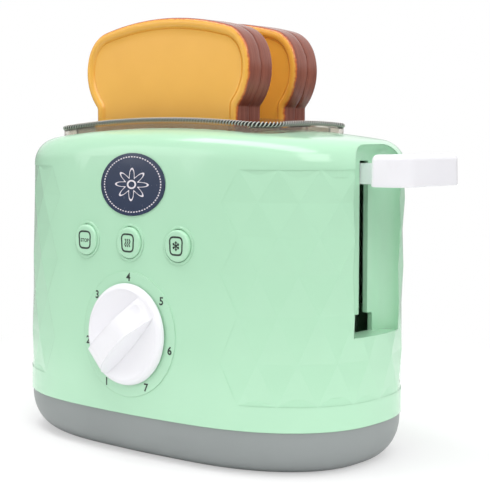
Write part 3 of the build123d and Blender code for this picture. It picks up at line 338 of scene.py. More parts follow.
def wall_normals(points):
    """Outward directions of the wall: the slope of wall_gap along x, y and z."""
    step = 0.01
    slopes = [wall_gap(points + step * axis) - wall_gap(points - step * axis) for axis in np.eye(3)]
    slopes = np.stack(slopes, 1)
    return slopes / np.linalg.norm(slopes, axis=1, keepdims=True)


def front_wall_y(x, z):
    """Where the front wall stands, in mm, found by halving a span from the middle to well outside."""
    near, far = np.full(np.shape(x), -80.0), np.zeros(np.shape(x))
    for _ in range(40):
        middle = (near + far) / 2
        outside = wall_gap(np.stack([x, middle, z], -1).reshape(-1, 3)).reshape(np.shape(x)) > 0
        near, far = np.where(outside, middle, near), np.where(outside, far, middle)
    return (near + far) / 2


print("front wall at the dial, mm:", round(float(front_wall_y(np.array([0.0]), np.array([50.1]))[0]), 2))

# %% [markdown]
# A solid arrives as loose triangles. A copy is merged at its shared corners, and then edges are told apart:
# an edge is sharp where its two faces turn by more than a limit. On the facets even a small turn is a real
# edge, and everywhere else on the wall the shading takes the wall's own formula, which no triangle spoils.

# %% Merged copies of solids
WELD = 0.000002
SMOOTH_LIMIT = radians(28)
FACET_LIMIT = radians(0.4)
FACET_ROWS = np.array([27.5, 43.6, 61.5, 77.2, 91.3, 104.2, 116.5])
FACET_STEPS = np.array([4.0, 4.5, 4.0, 4.5, 4.0, 4.5, 4.0])
FACET_PITCH = 15.47
HAIR_STEP, ON_LEVEL = 0.15, 0.005
LEDGE_HEIGHT, LEDGE_ROOT, LEDGE_ROOT_INSET, LEDGE_SLOPE = 3.0, 1.0, 0.1, 0.1
FACES_OUT, FOLLOWS_WALL, LIES_FLAT = 0.9, 0.995, 0.9
PATCH_SUNK, PATCH_PROUD, LEDGE_OFF, WALL_OFF, STEP_REACH, TOP_MARGIN = 2.0, 0.2, 0.04, 0.5, 1.2, 0.7


def along_outline(points):
    """Distance in mm along the wall's outline at the seam, from the nearer end's middle to the points."""
    x, y, z = points.T
    turn = np.linspace(0, pi / 2, 721)
    spokes = np.stack([np.cos(turn), np.sin(turn), np.full(len(turn), SEAM_Z)], 1)
    line = spokes[:, :2] * (1 - wall_gap(spokes))[:, None]
    run = np.concatenate([[0], np.cumsum(np.hypot(*np.diff(line, axis=0).T))])
    shifted = y - (LEAN_FRONT - LEAN_BACK) / 2 * wall_lean(z)
    return np.interp(np.arctan2(np.abs(shifted), np.abs(x)), turn, run)


def in_patch(points):
    """Whether points lie within the border of the facets."""
    z = points[:, 2]
    reach = np.interp(z, FACET_ROWS, FACET_STEPS) * FACET_PITCH
    return (z > FACET_ROWS[0]) & (z < FACET_ROWS[-1]) & (along_outline(points) < reach)


def ledge_inset(z):
    """How deep under the wall the small ledges lie: a slope that starts just beyond the patch's border."""
    from_border = np.minimum(z - FACET_ROWS[0], FACET_ROWS[-1] - z)
    return LEDGE_ROOT_INSET + LEDGE_SLOPE * (from_border + LEDGE_ROOT)


def merged_copy(node, name):
    """A new mesh object with the node's surface, its doubled corners merged."""
    work = bmesh.new()
    work.from_mesh(NODES[node].data)
    bmesh.ops.remove_doubles(work, verts=work.verts, dist=WELD)
    bmesh.ops.dissolve_degenerate(work, edges=work.edges, dist=WELD / 2)
    mesh = bpy.data.meshes.new(name)
    work.to_mesh(mesh)
    work.free()
    return linked(name, mesh)


def close_hair_steps(piece, levels, width_mm):
    """Merges close corners on the given levels, where the patch's border leaves steps thin as a hair."""
    work = bmesh.new()
    work.from_mesh(piece.data)
    corners = [corner for corner in work.verts if np.abs(corner.co.z / MM - levels).min() < ON_LEVEL]
    bmesh.ops.remove_doubles(work, verts=corners, dist=width_mm * MM)
    work.to_mesh(piece.data)
    work.free()


def read(data, name, width, kind=np.float32):
    """One property of all items of a mesh collection as an array with that many columns."""
    values = np.empty(len(data) * width, kind)
    data.foreach_get(name, values)
    return values.reshape(-1, width) if width > 1 else values


def face_of_corner(mesh):
    """For every face corner, the index of its face."""
    return np.repeat(np.arange(len(mesh.polygons)), read(mesh.polygons, "loop_total", 1, np.int32))


def edge_turns(mesh):
    """For each inner edge: its index, its two faces, and the angle between their normals."""
    edges = read(mesh.loops, "edge_index", 1, np.int32)
    faces = face_of_corner(mesh)
    order = np.argsort(edges, kind="stable")
    edges, faces = edges[order], faces[order]
    paired = edges[1:] == edges[:-1]
    first, second = faces[1:][paired], faces[:-1][paired]
    normals = read(mesh.polygons, "normal", 3)
    turn = np.arccos(np.clip((normals[first] * normals[second]).sum(1), -1, 1))
    return edges[1:][paired], first, second, turn


def mark_sharp(mesh, flat=None):
    """Edges that turn by more than the limit are sharp; on flat faces a much smaller turn counts."""
    index, first, second, turn = edge_turns(mesh)
    limit = np.full(len(index), SMOOTH_LIMIT)
    if flat is not None:
        limit[flat[first] | flat[second]] = FACET_LIMIT
    sharp = np.zeros(len(mesh.edges), bool)
    sharp[index[turn > limit]] = True
    mesh.polygons.foreach_set("use_smooth", np.ones(len(mesh.polygons), bool))
    layer = mesh.attributes.get("sharp_edge") or mesh.attributes.new("sharp_edge", "BOOLEAN", "EDGE")
    layer.data.foreach_set("value", sharp)


def dress(piece, body, finish, slot, *nodes):
    """Gives a finished piece its material and its body, and hides the nodes that it stands for; the slot is
    not used.
    """
    piece.data.materials.clear()
    piece.data.materials.append(finish)
    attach(piece, body)
    if nodes:
        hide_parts(*nodes)
    print(f"{piece.name}: {len(piece.data.polygons)} faces")


print("copies ready to make")

# %% [markdown]
# Now the casing. Its faces are told apart by where they lie: on the facets, on the small slopes along their
# border, on the plain wall, or on the hair-thin steps at the border. Each kind gets its own shading.

# %% Casing
casing = merged_copy("outer_shell", "casing")
close_hair_steps(casing, FACET_ROWS[[0, -1]], HAIR_STEP)
mesh = casing.data
centres = read(mesh.polygons, "center", 3) / MM
face_normals = read(mesh.polygons, "normal", 3)
gap = wall_gap(centres)
outward = (face_normals * wall_normals(centres)).sum(1)
shown = (outward > FACES_OUT) & (gap > -PATCH_SUNK) & (gap < PATCH_PROUD)
patch = shown & in_patch(centres)
near_border = np.abs(centres[:, 2] - FACET_ROWS.mean()) > np.ptp(FACET_ROWS) / 2 - LEDGE_HEIGHT
ledges = patch & near_border & (np.abs(gap + ledge_inset(centres[:, 2])) < LEDGE_OFF)
facets = patch & ~ledges
mark_sharp(mesh, facets)
on_wall = (np.abs(gap) < WALL_OFF) & ~patch & (outward > FOLLOWS_WALL)
on_wall &= centres[:, 2] < FACET_ROWS[-1] + TOP_MARGIN
corner_faces = face_of_corner(mesh)
corner_points = read(mesh.vertices, "co", 3)[read(mesh.loops, "vertex_index", 1, np.int32)] / MM
corner_normals = read(mesh.corner_normals, "vector", 3)
# The narrow steps along the patch's upper and lower border are shaded like the wall, so no line shows there
steps = (np.abs(face_normals[:, 2]) > LIES_FLAT) & (np.abs(gap) < STEP_REACH)
steps &= np.abs(centres[:, 2, None] - FACET_ROWS[[0, -1]]).min(1) < ON_LEVEL
smooth_corners = (on_wall | ledges | steps)[corner_faces]
corner_normals[smooth_corners] = wall_normals(corner_points[smooth_corners])
ledge_corners = ledges[corner_faces]
towards_middle = np.sign(FACET_ROWS.mean() - corner_points[ledge_corners, 2])
corner_normals[ledge_corners, 2] += LEDGE_SLOPE * towards_middle
corner_normals /= np.linalg.norm(corner_normals, axis=1, keepdims=True)
mesh.normals_split_custom_set(corner_normals.tolist())
dress(casing, "housing", mint_abs, "mint_casing", "outer_shell")
print("facets:", int(facets.sum()), "ledges:", int(ledges.sum()), "wall faces:", int(on_wall.sum()))

# %% [markdown]
# The grey base needs only its merged copy with soft shading.

# %% Base
base = merged_copy("base_tray", "base")
mark_sharp(base.data)
dress(base, "housing", grey_abs, "grey_base", "base_tray")

# %% [markdown]
# New pieces are grids of points: rows along one parameter, columns along another. One helper joins neighbours
# to square faces, also across the seam of a closed direction, and the others make a mesh object of them.

# %% Grid helper
def grid_faces(rows, columns, close_rows, close_columns):
    """The corner numbers of every square of a grid; a closed direction joins its last line to its first."""
    r = np.arange(rows if close_rows else rows - 1)
    c = np.arange(columns if close_columns else columns - 1)
    r, c = np.meshgrid(r, c, indexing="ij")
    r2, c2 = (r + 1) % rows, (c + 1) % columns
    corners = np.stack([r * columns + c, r * columns + c2, r2 * columns + c2, r2 * columns + c], -1)
    return corners.reshape(-1, 4)


def new_piece(name, points, faces, smooth=True):
    """A mesh object from points in mm and its faces."""
    mesh = bpy.data.meshes.new(name)
    mesh.from_pydata((points.reshape(-1, 3) * MM).tolist(), [], faces)
    mesh.polygons.foreach_set("use_smooth", np.full(len(mesh.polygons), smooth))
    mesh.update()
    return linked(name, mesh)


def per_point(piece, name, values):
    """Stores one number per point on the piece, for its finish to read."""
    layer = piece.data.attributes.new(name, "FLOAT", "POINT")
    layer.data.foreach_set("value", values.ravel().astype(np.float32))


def faces_outward(piece):
    """Recalculates the normals of a closed new mesh, so that all its faces look outwards."""
    work = bmesh.new()
    work.from_mesh(piece.data)
    bmesh.ops.recalc_face_normals(work, faces=work.faces)
    work.to_mesh(piece.data)
    work.free()


print("grid helper ready")

# %% [markdown]
# A slice of toast is two blow-moulded halves. Its outline is made of arcs that run tangent into each other: a
# shallow crown, two lobes that grow flatter downwards, a tight inward neck, straight sides, round corners.
# Each half is that outline carried along a profile: from the parting line across the crust, round the edge,
# over the rim, down into a small groove and onto the recessed crumb.

# %% The slice's outline
CROWN_Z, LOBE_X, LOBE_Z, LOBE_R = 177.28, 29.8, 158.5, 15.0
LOBE_TURN, LOWER_R = radians(20), 22.0
SIDE_X, NECK_R, CORNER_R, BOTTOM_Z = 39.1, 1.5, 6.0, 85.6


def arc(x, z, radius, start, end, count, inward=False):
    """Points and outward normals of an arc up to, not with, its end; an inward arc bulges into the slice."""
    angle = np.linspace(start, end, count, endpoint=False)
    spoke = np.stack([np.cos(angle), np.sin(angle)], 1)
    return np.array([x, z]) + radius * spoke, -spoke if inward else spoke


def straight(start, end, normal, count):
    """Evenly spaced inner points of a straight run, all with one normal."""
    share = np.linspace(0, 1, count + 2)[1:-1, None]
    return np.array(start) * (1 - share) + np.array(end) * share, np.tile(normal, (count, 1))


def slice_outline():
    """Right half from the crown's middle down to the bottom's middle, then the left half as its mirror."""
    rise = CROWN_Z - LOBE_Z
    crown_r = (rise ** 2 + LOBE_X ** 2 - LOBE_R ** 2) / (2 * (rise - LOBE_R))
    crown_z = CROWN_Z - crown_r
    joint = atan2(LOBE_Z - crown_z, LOBE_X)
    lower_x = LOBE_X - (LOWER_R - LOBE_R) * cos(LOBE_TURN)
    lower_z = LOBE_Z - (LOWER_R - LOBE_R) * sin(LOBE_TURN)
    neck_x = SIDE_X + NECK_R
    neck_z = lower_z - sqrt((LOWER_R + NECK_R) ** 2 - (neck_x - lower_x) ** 2)
    neck = atan2(neck_z - lower_z, neck_x - lower_x)
    runs = [
        arc(0, crown_z, crown_r, pi / 2, joint, 24),
        arc(LOBE_X, LOBE_Z, LOBE_R, joint, LOBE_TURN, 34),
        arc(lower_x, lower_z, LOWER_R, LOBE_TURN, neck, 40),
        arc(neck_x, neck_z, NECK_R, neck + pi, pi, 8, inward=True),
        straight((SIDE_X, neck_z), (SIDE_X, BOTTOM_Z + CORNER_R), (1.0, 0.0), 22),
        arc(SIDE_X - CORNER_R, BOTTOM_Z + CORNER_R, CORNER_R, 0, -pi / 2, 12),
        straight((SIDE_X - CORNER_R, BOTTOM_Z), (0, BOTTOM_Z), (0.0, -1.0), 14),
    ]
    points = np.concatenate([run[0] for run in runs])
    normals = np.concatenate([run[1] for run in runs])
    mirror = np.array([-1.0, 1.0])
    return [np.concatenate([half, half[:0:-1] * mirror]) for half in (points, normals)]


outline, outline_normals = slice_outline()
print("outline points:", len(outline))

# %% [markdown]
# A point of the profile says how far it lies inside the outline and how high over the parting plane. The
# distance run along the profile tells the finish where the sprayed crust ends.

# %% The slice's profile
HALF_THICKNESS, EDGE_R = 8.03, 2.0
PANEL_DROP, GROOVE_DROP, SPRAY_EDGE = 1.1, 1.4, 0.42


def slice_profile():
    """Pairs of (inset from the outline, height over the parting plane), with the distance run along them."""
    turn = np.linspace(0, pi / 2, 12)
    side = [(0.5, 0.0), (0.12, 0.22), (0.0, 0.55), (0.0, 2.5), (0.0, 4.5)]
    edge = np.stack([EDGE_R * (1 - np.cos(turn)), HALF_THICKNESS - EDGE_R + EDGE_R * np.sin(turn)], 1)
    top = HALF_THICKNESS
    rim = [(2.6, top - 0.01), (3.1, top - 0.12), (3.5, top - 0.38), (3.8, top - 0.75), (4.05, top - 1.05),
           (4.3, top - GROOVE_DROP), (4.6, top - 1.05), (5.0, top - PANEL_DROP)]
    profile = np.concatenate([side, edge, rim])
    run = np.concatenate([[0], np.cumsum(np.hypot(*np.diff(profile, axis=0).T))])
    spray_end = run[len(side)] + EDGE_R * pi / 2 * SPRAY_EDGE
    return profile, spray_end - run


profile, spray = slice_profile()
print("profile points:", len(profile))

# %% [markdown]
# Four halves make the two slices. The line where two halves meet waves a little.

# %% Slices
PARTING_WAVES = ((9, 0.22, 1), (23, 0.14, 2), (57, 0.07, 0))
WAVE_FADE = 3.0
PANEL_STEPS = np.array([0.93, 0.8, 0.6, 0.4, 0.2, 0.08])
CRUMB_MARGIN = 5.0
BREAD_Y = 16.18
SLICE_ROWS = (("front", -1, -3.2), ("rear", 1, -4.4))


def toast_half(name, centre_x, plane_y, side, body, node, seed):
    """One half of a slice: outline points moved in by the profile's inset and out by its height.

    Three sines of the way round move the parting plane. Inside, the crumb shrinks in steps to a point.
    """
    inset, height = profile.T
    flat = outline[None] - inset[:, None, None] * outline_normals[None]
    count = len(outline)
    turn = np.linspace(0, 2 * pi, count, endpoint=False)
    wave = sum(rise * np.sin(waves * turn + shift * seed) for waves, rise, shift in PARTING_WAVES)
    fade = np.clip(1 - height / WAVE_FADE, 0, 1)
    lift = height[:, None] * side + fade[:, None] * wave[None]
    middle = np.array([0.0, (CROWN_Z + BOTTOM_Z) / 2])
    inner = middle + (flat[-1] - middle)[None] * PANEL_STEPS[:, None, None]
    flat = np.concatenate([flat, inner])
    lift = np.concatenate([lift, np.tile(lift[-1], (len(PANEL_STEPS), 1))])
    points = np.stack([centre_x + flat[..., 0], plane_y + lift, flat[..., 1]], -1)
    rows = len(points)
    faces = grid_faces(rows, count, False, True).tolist()
    faces.append(list(range(count))[::-1])
    faces.append(list(range((rows - 1) * count, rows * count)))
    piece = new_piece(name, points, faces)
    values = np.concatenate([spray, np.full(len(PANEL_STEPS), spray[-1] - CRUMB_MARGIN)])
    per_point(piece, "spray_mm", np.repeat(values[:, None], count, 1))
    faces_outward(piece)
    mark_sharp(piece.data)
    dress(piece, body, toast, "bread", node)


for row, side_y, centre_x in SLICE_ROWS:
    for half, side in (("near", -1), ("far", 1)):
        toast_half(f"toast_{row}_{half}", centre_x, side_y * BREAD_Y, side, f"{row}_slice",
                   f"{row}_slice_{half}_half", 1.0 + side_y)

# %% [markdown]
# The knob is a thin disc with a rolled edge, dished on both sides of a grip that sinks towards the number it
# points at. Its front is one height field: everywhere the higher of two shapes, the dish and the grip, joined
# softly. The grid is finer where the grip's sides are steep.

# %% Knob shape
KNOB_R, KNOB_CREST_R, KNOB_CREST = 20.45, 18.1, 2.4
DISH_DEPTH = 1.95
DIAL_Z, DIAL_TILT, DIAL_PIVOT_Y, KNOB_BACK_Y = 50.1, 2.7, -49.45, -50.15
KNOB_REST = 46.0
GRIP_HALF, GRIP_TAPER = 6.6, 0.025
LEFT_SLOPE, RIGHT_SLOPE, END_SLOPE, END_REACH, END_RISE = 4.6, 3.4, 3.2, 0.9, 1.2
RIDGE_BLEND, LEFT_BLEND, RIGHT_BLEND, FOOT_BLEND, MERGED_BLEND = 0.3, 0.7, 1.6, 0.35, 0.9
MERGE_FROM, MERGE_RUN, SINK_RUN, TOP_BLUR = 11.0, 6.0, 3.0, 0.8
DIMPLE_Q, DIMPLE_P, DIMPLE_R, DIMPLE_DEPTH = -0.7, 12.8, 3.4, 0.55
Q_LINES, P_LINES, STEEP_LINES, STEEP_RUN = 90, 190, 34, (3.4, 8.2)
# How high the grip's ridge stands at places along it, from its blunt end to its pointing end
GRIP_TOP = np.array([(-19.0, 0.5), (-18.3, 2.6), (-17.4, 4.6), (-15.5, 6.1), (-13.0, 7.0), (-8.0, 7.65),
                     (-3.5, 7.87), (0.5, 7.87), (3.0, 7.75), (5.5, 7.3), (9.0, 5.6), (13.0, 3.9),
                     (16.5, 2.75), (18.3, 2.2), (20.0, 1.8)])


def smooth_max(a, b, blend):
    """The higher of two heights, rounded where they cross: their mean plus half the root of gap²+blend²."""
    return (a + b + np.sqrt((a - b) ** 2 + blend ** 2)) / 2 - blend / 2 * np.exp(-((a - b) / blend) ** 2)


def smooth_min(a, b, blend):
    """The lower of two heights, rounded where they cross."""
    return -smooth_max(-a, -b, blend)


def rounded_rim(radius):
    """Height of the disc's rim: a quarter ellipse from the crest down to the back at the full radius."""
    share = np.clip((radius - KNOB_CREST_R) / (KNOB_R - KNOB_CREST_R), 0, 1)
    return KNOB_CREST * np.sqrt(np.maximum(0.0, 1 - share ** 2))


def knob_height(q, p):
    """Height over the knob's back at q across and p along the grip, both in mm."""
    radius = np.hypot(q, p)
    inside = np.clip(radius / KNOB_CREST_R, 0, 1)
    dish = rounded_rim(radius) - DISH_DEPTH * (1 - inside ** 2) ** 0.8
    top = np.interp(p, *GRIP_TOP.T)
    smooth_top = (np.interp(p - TOP_BLUR, *GRIP_TOP.T) + top + np.interp(p + TOP_BLUR, *GRIP_TOP.T)) / 3
    foot = GRIP_HALF - GRIP_TAPER * p
    # The left side stands crisp and steep, the right side leans and rolls over broadly
    ridge = smooth_min((foot + q) * LEFT_SLOPE, (foot - q) * RIGHT_SLOPE, RIDGE_BLEND)
    bar = smooth_min(smooth_top, ridge, np.where(q > 0, RIGHT_BLEND, LEFT_BLEND))
    bar = np.minimum(bar, (KNOB_CREST_R + END_REACH - radius) * END_SLOPE + END_RISE)
    merge = np.clip((p - MERGE_FROM) / MERGE_RUN, 0, 1)
    height = smooth_max(dish, bar, FOOT_BLEND + MERGED_BLEND * merge)
    # The grip's pointing end sinks into the rim's crest without a step
    fade = np.where(p > 0, np.clip((KNOB_CREST_R - radius) / SINK_RUN, 0, 1), 1.0)
    height = np.where(height > KNOB_CREST, KNOB_CREST + (height - KNOB_CREST) * fade, height)
    away = np.hypot(q - DIMPLE_Q, p - DIMPLE_P) / DIMPLE_R
    height = height - DIMPLE_DEPTH * np.clip(1 - away ** 2, 0, 1) ** 0.7
    return np.where(radius > KNOB_CREST_R, np.minimum(height, rounded_rim(radius)), height)


wide_lines = KNOB_R * np.sin(np.linspace(-pi / 2, pi / 2, Q_LINES))
steep_lines = np.linspace(*STEEP_RUN, STEEP_LINES)
q_lines = np.unique(np.concatenate([wide_lines, -steep_lines, steep_lines]).round(4))[1:-1]
p_lines = np.sin(np.linspace(-pi / 2, pi / 2, P_LINES))
reach = np.sqrt(KNOB_R ** 2 - q_lines ** 2)
q = np.repeat(q_lines[:, None], len(p_lines), 1)
p = p_lines[None] * reach[:, None]
print("knob grid:", q.shape)

# %% [markdown]
# The height field becomes the knob: turned to where it points, set on the dial and closed with a flat back.

# %% Knob piece
def on_dial(x, out, z):
    """A point given across, out of and up along the dial, leaned back with the wall about the pivot."""
    lean = radians(DIAL_TILT)
    y = KNOB_BACK_Y - DIAL_PIVOT_Y - out
    leaned_y, leaned_z = y * cos(lean) + z * sin(lean), z * cos(lean) - y * sin(lean)
    return np.stack([x, DIAL_PIVOT_Y + leaned_y, DIAL_Z + leaned_z], -1)


height = knob_height(q, p)
height[:, 0] = 0.0
height[:, -1] = 0.0
rest = radians(KNOB_REST)
x = q * cos(rest) + p * sin(rest)
z = -q * sin(rest) + p * cos(rest)
rows, columns = q.shape
faces = grid_faces(rows, columns, False, False).tolist()
number = np.arange(rows * columns).reshape(rows, columns)
rim_loop = [number[:, 0], number[-1, 1:], number[-2::-1, -1], number[0, -2:0:-1]]
faces.append(np.concatenate(rim_loop).tolist())
knob = new_piece("knob", on_dial(x, height, z), faces)
faces_outward(knob)
mark_sharp(knob.data)
dress(knob, "knob", white_abs, "white_gloss", "timer_knob")

# %% [markdown]
# Numbers round the dial and marks on the buttons are pad printed: a film of ink thinner than paper. Each is a
# flat shape laid on the surface below it. The numerals come from the plain built-in font, the marks are
# ribbons: a line through given points, widened to both sides.

# %% Numerals
INK = 0.05
PAD_PROUD = 0.4
NUMERAL_R = 23.0
NUMERAL_TURN, NUMERAL_SIZE, BOLDER = 50.5, 4.4, 0.025


def lettering(name, text, size_mm):
    """Flat mesh points and faces of a word, centred on its own middle, in mm."""
    curve = bpy.data.curves.new(name, "FONT")
    curve.body = text
    curve.size = size_mm
    curve.offset = BOLDER * size_mm
    curve.resolution_u = 4
    word = linked(name, curve)
    bpy.context.view_layer.update()
    mesh = bpy.data.meshes.new_from_object(word)
    bpy.data.objects.remove(word)
    flat = read(mesh.vertices, "co", 3)[:, :2]
    faces = [list(face.vertices) for face in mesh.polygons]
    return flat - (flat.max(0) + flat.min(0)) / 2, faces


def printed(name, flat, faces, place, body, on_surface):
    """Ink on a surface: flat points moved to their place, then onto the surface that carries them."""
    x, z = (flat + np.array(place)).T
    piece = new_piece(name, np.stack([x, on_surface(x, z), z], -1), faces, smooth=False)
    normals = read(piece.data.polygons, "normal", 3)
    if normals[:, 1].mean() > 0:
        piece.data.flip_normals()
    dress(piece, body, dark_ink, "grey_base")


def pad_surface(x, z):
    """The raised dial ring follows the wall."""
    return front_wall_y(x, z) - PAD_PROUD - INK


for k, number in enumerate("1234567"):
    turn = radians((k - 3) * NUMERAL_TURN)
    flat, faces = lettering(f"numeral_{number}", number, NUMERAL_SIZE)
    place = (NUMERAL_R * sin(turn), DIAL_Z + NUMERAL_R * cos(turn))
    printed(f"numeral_{number}", flat, faces, place, "housing", pad_surface)

# %% [markdown]
# Each button carries a small slice of toast, and in it the word STOP, three heat waves or a snow crystal.

# %% Button marks
BUTTON_PITCH, BUTTON_Z = 25.16, 86.7
MARK_LINE, WAVE_STROKE, BRANCH_LINE = 0.72, 0.5, 0.42
MARK_HALF_WIDTH, MARK_HALF_HEIGHT, MARK_WIDER, SHOULDER_Z = 3.1, 3.45, 0.06, 0.9
WAVES_X, WAVE_HALF_HEIGHT, WAVE_SWAY, WAVE_TURNS = (-1.1, 0, 1.1), 1.6, 0.3, 2.6
SPOKE_FROM, SPOKE_TO, BRANCH_FROM, BRANCH_REACH = 0.1, 1.9, 1.0, 0.75
WORD_SIZE, WORD_DROP = 2.0, 0.2


def ribbon(points, width, closed):
    """Flat points and faces of a line of that width: each point is pushed to both sides along its normal."""
    ahead = np.roll(points, -1, 0) - np.roll(points, 1, 0)
    if not closed:
        ahead[0] = points[1] - points[0]
        ahead[-1] = points[-1] - points[-2]
    normal = np.stack([-ahead[:, 1], ahead[:, 0]], 1) / np.linalg.norm(ahead, axis=1, keepdims=True)
    sides = np.stack([points + normal * width / 2, points - normal * width / 2], 1)
    return sides.reshape(-1, 2), grid_faces(len(points), 2, closed, False)


def joined(ribbons):
    """Several ribbons as one set of points and faces."""
    offset = np.cumsum([0] + [len(points) for points, _ in ribbons])
    faces = np.concatenate([faces + start for (_, faces), start in zip(ribbons, offset)])
    return np.concatenate([points for points, _ in ribbons]), faces.tolist()


def toast_mark():
    """A small slice: the curve |x/a|^4 + |z/b|^4 = 1, a little wider in its upper third."""
    turn = np.linspace(0, 2 * pi, 60, endpoint=False)
    x = MARK_HALF_WIDTH * np.sign(np.cos(turn)) * np.sqrt(np.abs(np.cos(turn)))
    z = MARK_HALF_HEIGHT * np.sign(np.sin(turn)) * np.sqrt(np.abs(np.sin(turn)))
    wider = 1 + MARK_WIDER / (1 + np.exp(-4 * (z - SHOULDER_Z)))
    return ribbon(np.stack([x * wider, z], 1), MARK_LINE, True)


def wave_line(x):
    """One rising heat wave: a sine across its height."""
    z = np.linspace(-WAVE_HALF_HEIGHT, WAVE_HALF_HEIGHT, 16)
    return ribbon(np.stack([x + WAVE_SWAY * np.sin(z * WAVE_TURNS), z], 1), WAVE_STROKE, False)


def flake():
    """A snow crystal: six spokes, each with two short branches."""
    lines = []
    for k in range(6):
        turn = k * pi / 3
        spoke = np.array([sin(turn), cos(turn)])
        lines.append(ribbon(np.array([spoke * SPOKE_FROM, spoke * SPOKE_TO]), WAVE_STROKE, False))
        for bend in (-pi / 4, pi / 4):
            branch = np.array([sin(turn + bend), cos(turn + bend)])
            tip = spoke * BRANCH_FROM + branch * BRANCH_REACH
            lines.append(ribbon(np.array([spoke * BRANCH_FROM, tip]), BRANCH_LINE, False))
    return lines


def button_front(name):
    """Where the print lies on a button: a film's thickness before its cap."""
    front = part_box(f"button_{name}")[0].y / MM - INK
    return lambda x, z: np.full(len(x), front)


BUTTON_MARKS = {"stop": [], "warm": [wave_line(x) for x in WAVES_X], "frost": flake()}
for k, (name, marks) in enumerate(BUTTON_MARKS.items()):
    centre = ((k - 1) * BUTTON_PITCH, BUTTON_Z)
    flat, faces = joined([toast_mark(), *marks])
    printed(f"mark_{name}", flat, faces, centre, f"{name}_button", button_front(name))
flat, faces = lettering("mark_stop_word", "STOP", WORD_SIZE)
centre = (-BUTTON_PITCH, BUTTON_Z - WORD_DROP)
printed("mark_stop_word", flat, faces, centre, "stop_button", button_front("stop"))

# %% [markdown]
# Round the smoky cover's top edge runs a moulded bead that looks like a rope: two strands wound round each
# other, circles carried along the cover's outline, whose centres turn about the path.

# %% Rope bead of the cover
COVER_X, COVER_LENGTH, COVER_WIDTH, COVER_CORNER = -4.0, 59.2, 30.0, 12.0
COVER_RISE, CASING_TOP = 3.5, 133.8
DOME_LENGTHWISE, DOME_CROSSWISE = 520.0, 300.0
STRAND_R, TWIST_PITCH, HOLLOW = 0.5, 3.0, 1.7
STRAND_SWELL, STRAND_SIDES, BEAD_STEP = 1.05, 8, 0.24
BEAD_INSET, BEAD_SINK = 0.35, 0.1


def dome_height(x, y):
    """Height of the casing's domed top: its peak less an arc's drop along x and a parabola's along y."""
    lengthwise = DOME_LENGTHWISE - np.sqrt(DOME_LENGTHWISE ** 2 - x ** 2)
    return CASING_TOP - lengthwise - y ** 2 / (2 * DOME_CROSSWISE)


def rounded_rectangle(half_x, half_y, corner, step):
    """Points and outward normals round a rounded rectangle, evenly spaced by their distance along it."""
    pieces = []
    for cx, cy, start in ((1, 1, 0), (-1, 1, pi / 2), (-1, -1, pi), (1, -1, 3 * pi / 2)):
        angle = np.linspace(start, start + pi / 2, 60)
        spoke = np.stack([np.cos(angle), np.sin(angle)], 1)
        pieces.append(np.array([cx * (half_x - corner), cy * (half_y - corner)]) + corner * spoke)
    points = np.concatenate(pieces)
    points = np.concatenate([points, points[:1]])
    run = np.concatenate([[0], np.cumsum(np.hypot(*np.diff(points, axis=0).T))])
    count = int(run[-1] / step)
    at = np.linspace(0, run[-1], count, endpoint=False)
    even = np.stack([np.interp(at, run, points[:, 0]), np.interp(at, run, points[:, 1])], 1)
    ahead = np.roll(even, -1, 0) - np.roll(even, 1, 0)
    normals = np.stack([ahead[:, 1], -ahead[:, 0]], 1) / np.linalg.norm(ahead, axis=1, keepdims=True)
    return even, normals, run[-1]


def rope_bead(name, half_x, half_y, corner, lift):
    """Two strands on a closed path: each centre circles the path once per pitch, half a turn apart."""
    path, normals, length = rounded_rectangle(half_x, half_y, corner, BEAD_STEP)
    count = len(path)
    height = dome_height(COVER_X + path[:, 0], path[:, 1]) + lift
    turns = round(length / TWIST_PITCH)
    twist = np.linspace(0, 2 * pi * turns, count, endpoint=False)
    strands, crests = [], []
    for phase in (0, pi):
        out = STRAND_R * np.cos(twist + phase)
        up = STRAND_R * np.sin(twist + phase)
        ring = np.linspace(0, 2 * pi, STRAND_SIDES, endpoint=False)
        offset_out = out[:, None] + STRAND_R * STRAND_SWELL * np.cos(ring)[None]
        offset_up = up[:, None] + STRAND_R * STRAND_SWELL * np.sin(ring)[None]
        x = COVER_X + path[:, :1] + normals[:, :1] * offset_out
        y = path[:, 1:] + normals[:, 1:] * offset_out
        strands.append(np.stack([x, y, height[:, None] + offset_up], -1))
        # How far out of the hollows a point lies; the finish paints shade where this is low
        crests.append(np.clip((np.hypot(offset_out, offset_up) / STRAND_R - HOLLOW) / (2 - HOLLOW), 0, 1))
    points = np.concatenate([strand.reshape(-1, 3) for strand in strands])
    faces = grid_faces(count, STRAND_SIDES, True, True)
    faces = np.concatenate([faces, faces + count * STRAND_SIDES]).tolist()
    piece = new_piece(name, points, faces)
    per_point(piece, "crest", np.concatenate(crests))
    faces_outward(piece)
    dress(piece, "housing", smoky_bead, "smoky_clear")


rope_bead("cover_bead", COVER_LENGTH - BEAD_INSET, COVER_WIDTH - BEAD_INSET, COVER_CORNER - BEAD_INSET,
          COVER_RISE - BEAD_SINK)

# %% [markdown]
# The smoky cover itself and the lever keep their solids' shapes. Merged copies give them smooth shading.

# %% Cover, lever and badge
COPIES = [("top_grille", "smoky_cover", "housing", smoky_clear, "smoky_clear"),
          ("lever_handle", "lever_grip", "carriage", white_abs, "white_gloss"),
          ("badge_plate", "badge", "housing", badge_film, "badge_navy")]
COPIES += [(f"button_{key}", f"cap_{key}", f"{key}_button", mint_abs, "mint_casing") for key in BUTTON_MARKS]
for node, name, body, finish, slot in COPIES:
    copy = merged_copy(node, name)
    mark_sharp(copy.data)
    dress(copy, body, finish, slot, node)

# %% [markdown]
# Every other solid stays as it is and only gets its finish, chosen by the slot that it was given.

